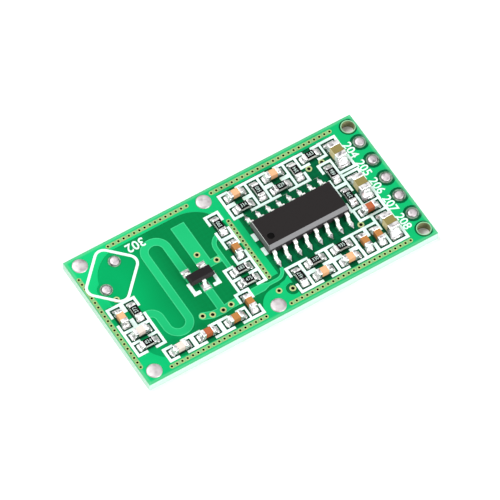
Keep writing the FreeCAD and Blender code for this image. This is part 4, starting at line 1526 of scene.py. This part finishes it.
@dataclass
class LeadedPackage:
    """A moulded package on gull-wing leads.

    Sides gives the leads' places along the body, from its middle, for each side that they point to. Heel
    and toe sizes that end in share are shares of the lead's width or thickness.
    """

    prefix: str
    finish: Finish
    draft: float
    edge: float
    lead_width: float
    lead_thickness: float
    lead_span: float
    foot: float
    shoulder: float
    bend: float
    reach: float
    toe_width: float
    sides: tuple[tuple[int, tuple[float, ...]], ...]
    chamfer: float = 0.0
    dimple_inset: float = 0.0
    dimple_offset: float = 0.0
    dimple_radius: float = 0.0
    dimple_depth: float = 0.07
    dimple_segments: int = 40
    dimple_floor: float = 0.96
    dimple_clearance: float = 0.3
    dimple_skin: float = 0.004
    dimple_margin: float = 1.02
    edge_steps: int = 3
    edge_angle: float = 12.0
    lead_root: float = 0.15
    lead_edge: float = 0.02
    lead_weld: float = 0.01
    bend_steps: int = 4
    toe_lap: float = 0.03
    toe_rise_share: float = 1.1
    heel_lap: float = 0.05
    heel_reach: float = 0.24
    heel_width_share: float = 1.1
    heel_rise_share: float = 1.4

    def body(self) -> bpy.types.Object:
        """Makes the moulded body: two drafted halves that meet at mid height, with softened edges.

        Returns:
            The body.
        """
        centre, size = span(f"{self.prefix}_body")
        half_height = size.z / 2
        slope = self.draft / half_height
        drop = self.chamfer / (1 - slope)
        top_x = size.x / 2 - self.draft
        top_y = size.y / 2 - self.draft
        corners = []
        for sign in (-1, 1):
            corners += [(sign * top_x, -top_y, -half_height), (sign * top_x, top_y, -half_height)]
            corners += [(sign * size.x / 2, -size.y / 2, 0.0), (sign * size.x / 2, size.y / 2, 0.0)]
            corners.append((sign * top_x, -top_y + self.chamfer, half_height))
            corners.append((sign * top_x, top_y, half_height))
            corners.append((sign * (top_x + slope * drop), -top_y - slope * drop, half_height - drop))
        corners = [Vector(corner) + centre for corner in corners]
        made = hull(f"{self.prefix}_moulding", corners, self.finish)
        soften(made, self.edge, self.edge_steps, self.edge_angle)
        if self.dimple_radius:
            x = centre.x - size.x / 2 + self.dimple_inset
            self.press_dimple(made, x, centre.y + self.dimple_offset, centre.z + half_height)
        return seat(made, "moulding", f"{self.prefix}_body")

    def press_dimple(self, made: bpy.types.Object, x: float, y: float, top: float) -> None:
        """Presses the round dimple into the top of a body, and darkens it.

        Args:
            made: The body.
            x: Place of the dimple along the board.
            y: Place of the dimple across the board.
            top: Height of the body's top.
        """
        profile = [(self.dimple_radius * self.dimple_floor, top - self.dimple_depth),
                   (self.dimple_radius, top + self.dimple_clearance)]
        vertices = [(x, y, height) for _, height in profile]
        faces = []
        for step in range(self.dimple_segments):
            angle = 2 * math.pi * step / self.dimple_segments
            vertices += [(*around(x, y, radius, angle), height) for radius, height in profile]
            a = 2 + 2 * step
            b = 2 + 2 * ((step + 1) % self.dimple_segments)
            faces += [(0, b, a), (1, a + 1, b + 1), (a, b, b + 1, a + 1)]
        tool = object_from("dimple_tool", vertices, faces, self.finish)
        cut = made.modifiers.new("dimple", "BOOLEAN")
        cut.operation = "DIFFERENCE"
        cut.object = tool
        cut.solver = "EXACT"
        settle(made)
        bpy.data.objects.remove(tool)
        made.data.materials.append(Finish.DIMPLE.get())
        middle = Vector((x, y)) * MM
        reach = self.dimple_radius * self.dimple_margin * MM
        for face in made.data.polygons:
            sunk = face.center.z < (top - self.dimple_skin) * MM
            if sunk and (face.center.xy - middle).length < reach:
                face.material_index = 1

    def lead_tree(self) -> Tree:
        """Makes the tree of one formed lead: a bent path swept with a flat bar, its toe along +Y.

        Returns:
            The tree.
        """
        tree = Tree(f"{self.prefix}_lead")
        width = tree.number("Width", self.lead_width * MM)
        thickness = tree.number("Thickness", self.lead_thickness * MM)
        bend = tree.number("Bend", self.bend * MM)
        centre, size = span(f"{self.prefix}_body")
        rise = centre.z - PAD_TOP
        half = self.lead_thickness / 2
        corners = [
            (0, size.y / 2 - self.lead_root, rise), (0, size.y / 2 + self.shoulder, rise),
            (0, self.lead_span / 2 - self.foot, half), (0, self.lead_span / 2, half)]
        runs = [tree.node("GeometryNodeCurvePrimitiveLine", {
            "Start": tuple(v * MM for v in a), "End": tuple(v * MM for v in b)}).outputs[0]
            for a, b in zip(corners, corners[1:])]
        joined = tree.node("GeometryNodeJoinGeometry", {})
        for run in reversed(runs):
            tree.feed(joined.inputs[0], run)
        wire = tree.node("GeometryNodeCurveToMesh", {"Curve": joined.outputs[0]})
        merged = tree.node("GeometryNodeMergeByDistance", {
            "Geometry": wire.outputs[0], "Distance": self.lead_weld * MM})
        path = tree.node("GeometryNodeMeshToCurve", {"Mesh": merged.outputs[0]})
        rounded = tree.node("GeometryNodeFilletCurve", {
            "Curve": path.outputs[0], "Count": self.bend_steps, "Radius": bend, "Limit Radius": True},
            mode="POLY")
        bar = tree.node("GeometryNodeCurvePrimitiveQuadrilateral", {"Width": width, "Height": thickness})
        swept = tree.node("GeometryNodeCurveToMesh", {
            "Curve": rounded.outputs[0], "Profile Curve": bar.outputs[0], "Fill Caps": True})
        tree.repeat(swept.outputs[0], Finish.LEAD)
        return tree

    def places(self) -> list[tuple[float, float, int]]:
        """Each lead's place along the body, the body's middle, and the side that it points to."""
        centre, _ = span(f"{self.prefix}_body")
        return [(centre.x + offset, centre.y, side) for side, offsets in self.sides for offset in offsets]

    def leads(self) -> bpy.types.Object:
        """Makes all leads of the package.

        Returns:
            The leads as one piece.
        """
        spots = [Spot(x, y, PAD_TOP, 0.0 if side > 0 else math.pi) for x, y, side in self.places()]
        made = grow(f"{self.prefix}_lead_row", self.lead_tree(), spots)
        return seat(soften(made, self.lead_edge, 1), "lead_metal", f"{self.prefix}_leads")

    def toe_solder(self) -> list[Spot]:
        """Works out where solder runs from the toe and the heel of each lead along its pad.

        Returns:
            Place and size of each fillet.
        """
        toe_size = (self.reach, self.toe_width, self.lead_thickness * self.toe_rise_share)
        heel_size = (self.heel_reach, self.lead_width * self.heel_width_share,
                     self.lead_thickness * self.heel_rise_share)
        spots = []
        for x, y, side in self.places():
            toe = y + side * (self.lead_span / 2 - self.toe_lap)
            heel = y + side * (self.lead_span / 2 - self.foot + self.heel_lap)
            spots.append(Spot(x, toe, PAD_TOP, side * math.pi / 2, toe_size))
            spots.append(Spot(x, heel, PAD_TOP, -side * math.pi / 2, heel_size))
        return spots

    def build(self) -> list[Spot]:
        """Makes the body and the leads.

        Returns:
            Where their solder goes.
        """
        self.body()
        self.leads()
        return self.toe_solder()


@dataclass
class PinNumbers:
    """Plain numbers printed beside the pin holes and at the light sensor."""

    inset: float = 1.36
    drop: float = 0.38
    first: int = 204
    lettering: Lettering = Lettering(0.96, 0.03, 0.014)
    sensor_number: str = "302"
    sensor_place: Point = (-10.05, 6.51)
    sensor_height: float = 1.05

    def build(self) -> bpy.types.Object:
        """Makes the numbers: those of the pins read from the far edge to the near edge.

        Returns:
            The numbers as one piece.
        """
        parts = []
        for number, node in enumerate(nodes_named("header_solder"), start=self.first):
            centre, _ = span(node)
            parts.append(self.lettering.number(
                str(number), centre.x - self.inset, centre.y - self.drop, COPPER_TOP, -math.pi / 2))
        thickness = self.lettering.thickness + COPPER_TOP - LAMINATE_TOP
        lettering = replace(self.lettering, height=self.sensor_height, thickness=thickness)
        parts.append(lettering.number(self.sensor_number, *self.sensor_place, LAMINATE_TOP, math.pi))
        return seat(join("pin_numbers", parts), "print")


# Studio


@dataclass(frozen=True)
class Lamp:
    """A large soft lamp that points at the board, with its place and side in metres and power in watts."""

    name: str
    place: tuple[float, float, float]
    side: float
    power: float

    def build(self) -> None:
        """Makes the lamp."""
        data = bpy.data.lights.new(self.name, "AREA")
        data.shape = "SQUARE"
        data.size = self.side
        data.energy = self.power
        made = add(self.name, data)
        made.location = self.place
        made.rotation_mode = "QUATERNION"
        made.rotation_quaternion = Vector(self.place).to_track_quat("Z", "Y")


@dataclass
class Studio:
    """The floor, the light and the camera.

    Angles are in degrees, shifts and the image's side in pixels. The card is the part of the surround that
    flat faces mirror, between the cosines given.
    """

    azimuth: float = -35.4815
    elevation: float = 58.8422
    roll: float = 3.7262
    distance: float = 650.0
    pixels_per_mm: float = 9.6823
    shift_right: float = 1.0469
    shift_up: float = 2.0294
    image: int = 500
    sensor: float = 36.0
    target_height: float = 1.10
    ambient: float = 0.62
    shade: float = 0.5
    card: Point = (0.80, 0.97)
    floor_reach: float = 2000.0
    floor_low: float = -1.0
    floor_high: float = -0.002
    floor_tones: Point = (0.93, 0.95)
    floor_clouds: float = 6.0
    floor_layers: float = 2.0
    floor_roughness: float = 0.9
    floor_specular: float = 0.1
    clip: Point = (0.01, 20.0)
    lamps: tuple[Lamp, ...] = (
        Lamp("key", (-0.25, 0.35, 0.6), 0.4, 4.5),
        Lamp("front", (0.195, -0.556, 0.273), 0.35, 3.5),
    )

    def axes(self) -> tuple[Vector, Vector, Vector]:
        """Works out the camera's directions.

        Returns:
            Its right, up and backward directions.
        """
        a, e, r = (math.radians(v) for v in (self.azimuth, self.elevation, self.roll))
        back = Vector((math.sin(a) * math.cos(e), -math.cos(a) * math.cos(e), math.sin(e)))
        right = Vector((0, 0, 1)).cross(back).normalized()
        up = back.cross(right)
        c, s = math.cos(r), math.sin(r)
        return c * right + s * up, -s * right + c * up, back

    def camera(self) -> bpy.types.Object:
        """Makes the camera, far off on a long lens.

        Returns:
            The camera.
        """
        data = bpy.data.cameras.new("camera")
        data.sensor_width = self.sensor
        data.lens = self.pixels_per_mm * self.distance / self.image * self.sensor
        data.clip_start, data.clip_end = self.clip
        made = add("camera", data)
        right, up, back = self.axes()
        aim = Vector((0, 0, self.target_height))
        aim -= right * (self.shift_right / self.pixels_per_mm)
        aim -= up * (self.shift_up / self.pixels_per_mm)
        turn = Matrix((right, up, back)).transposed().to_4x4()
        made.matrix_world = Matrix.Translation((aim + back * self.distance) * MM) @ turn
        bpy.context.scene.camera = made
        return made

    def floor(self) -> bpy.types.Object:
        """Makes the pale floor that the board lies on.

        Returns:
            The floor.
        """
        reach = self.floor_reach
        outline = [(-reach, -reach), (reach, -reach), (reach, reach), (-reach, reach)]
        made = plate("floor", outline, self.floor_low, self.floor_high, Finish.PRINT)
        shader = Shader("floor")
        cloud = shader.band(shader.noise(self.floor_clouds, self.floor_layers), *CLOUD_BAND)
        dark, pale = ((tone,) * 3 for tone in self.floor_tones)
        tone = shader.mix(cloud, dark, pale)
        made.data.materials[0] = shader.finish(tone, self.floor_roughness, specular=self.floor_specular)
        return made

    def sky(self) -> None:
        """Makes the surround: bright all over, with a darker card where flat faces mirror it."""
        world = bpy.data.worlds.new("surround")
        bpy.context.scene.world = world
        world.use_nodes = True
        tree = Nodes(world.node_tree)
        back = tree.tree.nodes["Background"]
        _, _, towards = self.axes()
        mirrored = Vector((-towards.x, -towards.y, towards.z))
        cosine = tree.cosine(tree.node("ShaderNodeTexCoord", {}).outputs["Generated"], mirrored)
        tree.feed(back.inputs["Strength"], tree.band(cosine, *self.card, self.ambient, self.shade))
        tree.feed(back.inputs["Color"], (1.0, 1.0, 1.0, 1.0))

    def build(self) -> None:
        """Sets up the studio."""
        self.camera()
        self.floor()
        self.sky()
        for lamp in self.lamps:
            lamp.build()
        scene = bpy.context.scene
        scene.view_settings.view_transform = "Standard"
        scene.view_settings.look = "None"


def main() -> None:
    """Builds the module and its studio, piece by piece."""
    logging.basicConfig(level=logging.INFO, format="%(message)s")
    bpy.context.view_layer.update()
    board = Board()
    board.dress()
    board.hole_liners()
    board.trace_rims()
    ViaRows().build()
    SolderJoints().build()
    row = tuple(LEAD_PITCH * (index - (LEADS_A_SIDE - 1) / 2) for index in range(LEADS_A_SIDE))
    package = LeadedPackage(
        prefix="package", finish=Finish.MOULDING, draft=0.13, edge=0.06, lead_width=0.42, lead_thickness=0.2,
        lead_span=6.1, foot=0.62, shoulder=0.3, bend=0.22, reach=0.55, toe_width=0.58,
        sides=((-1, row), (1, row)), chamfer=0.33, dimple_inset=0.96, dimple_offset=-0.62, dimple_radius=0.42)
    transistor = LeadedPackage(
        prefix="transistor", finish=Finish.SMALL_MOULDING, draft=0.18, edge=0.05, lead_width=0.42,
        lead_thickness=0.13, lead_span=2.45, foot=0.35, shoulder=0.12, bend=0.1, reach=0.34, toe_width=0.86,
        sides=((1, (-0.95, 0.95)), (-1, (0.0,))))
    package_toes = package.build()
    transistor_toes = transistor.build()
    ChipParts().build(transistor_toes, package_toes)
    PinNumbers().build()
    Studio().build()


if __name__ == "__main__":
    main()
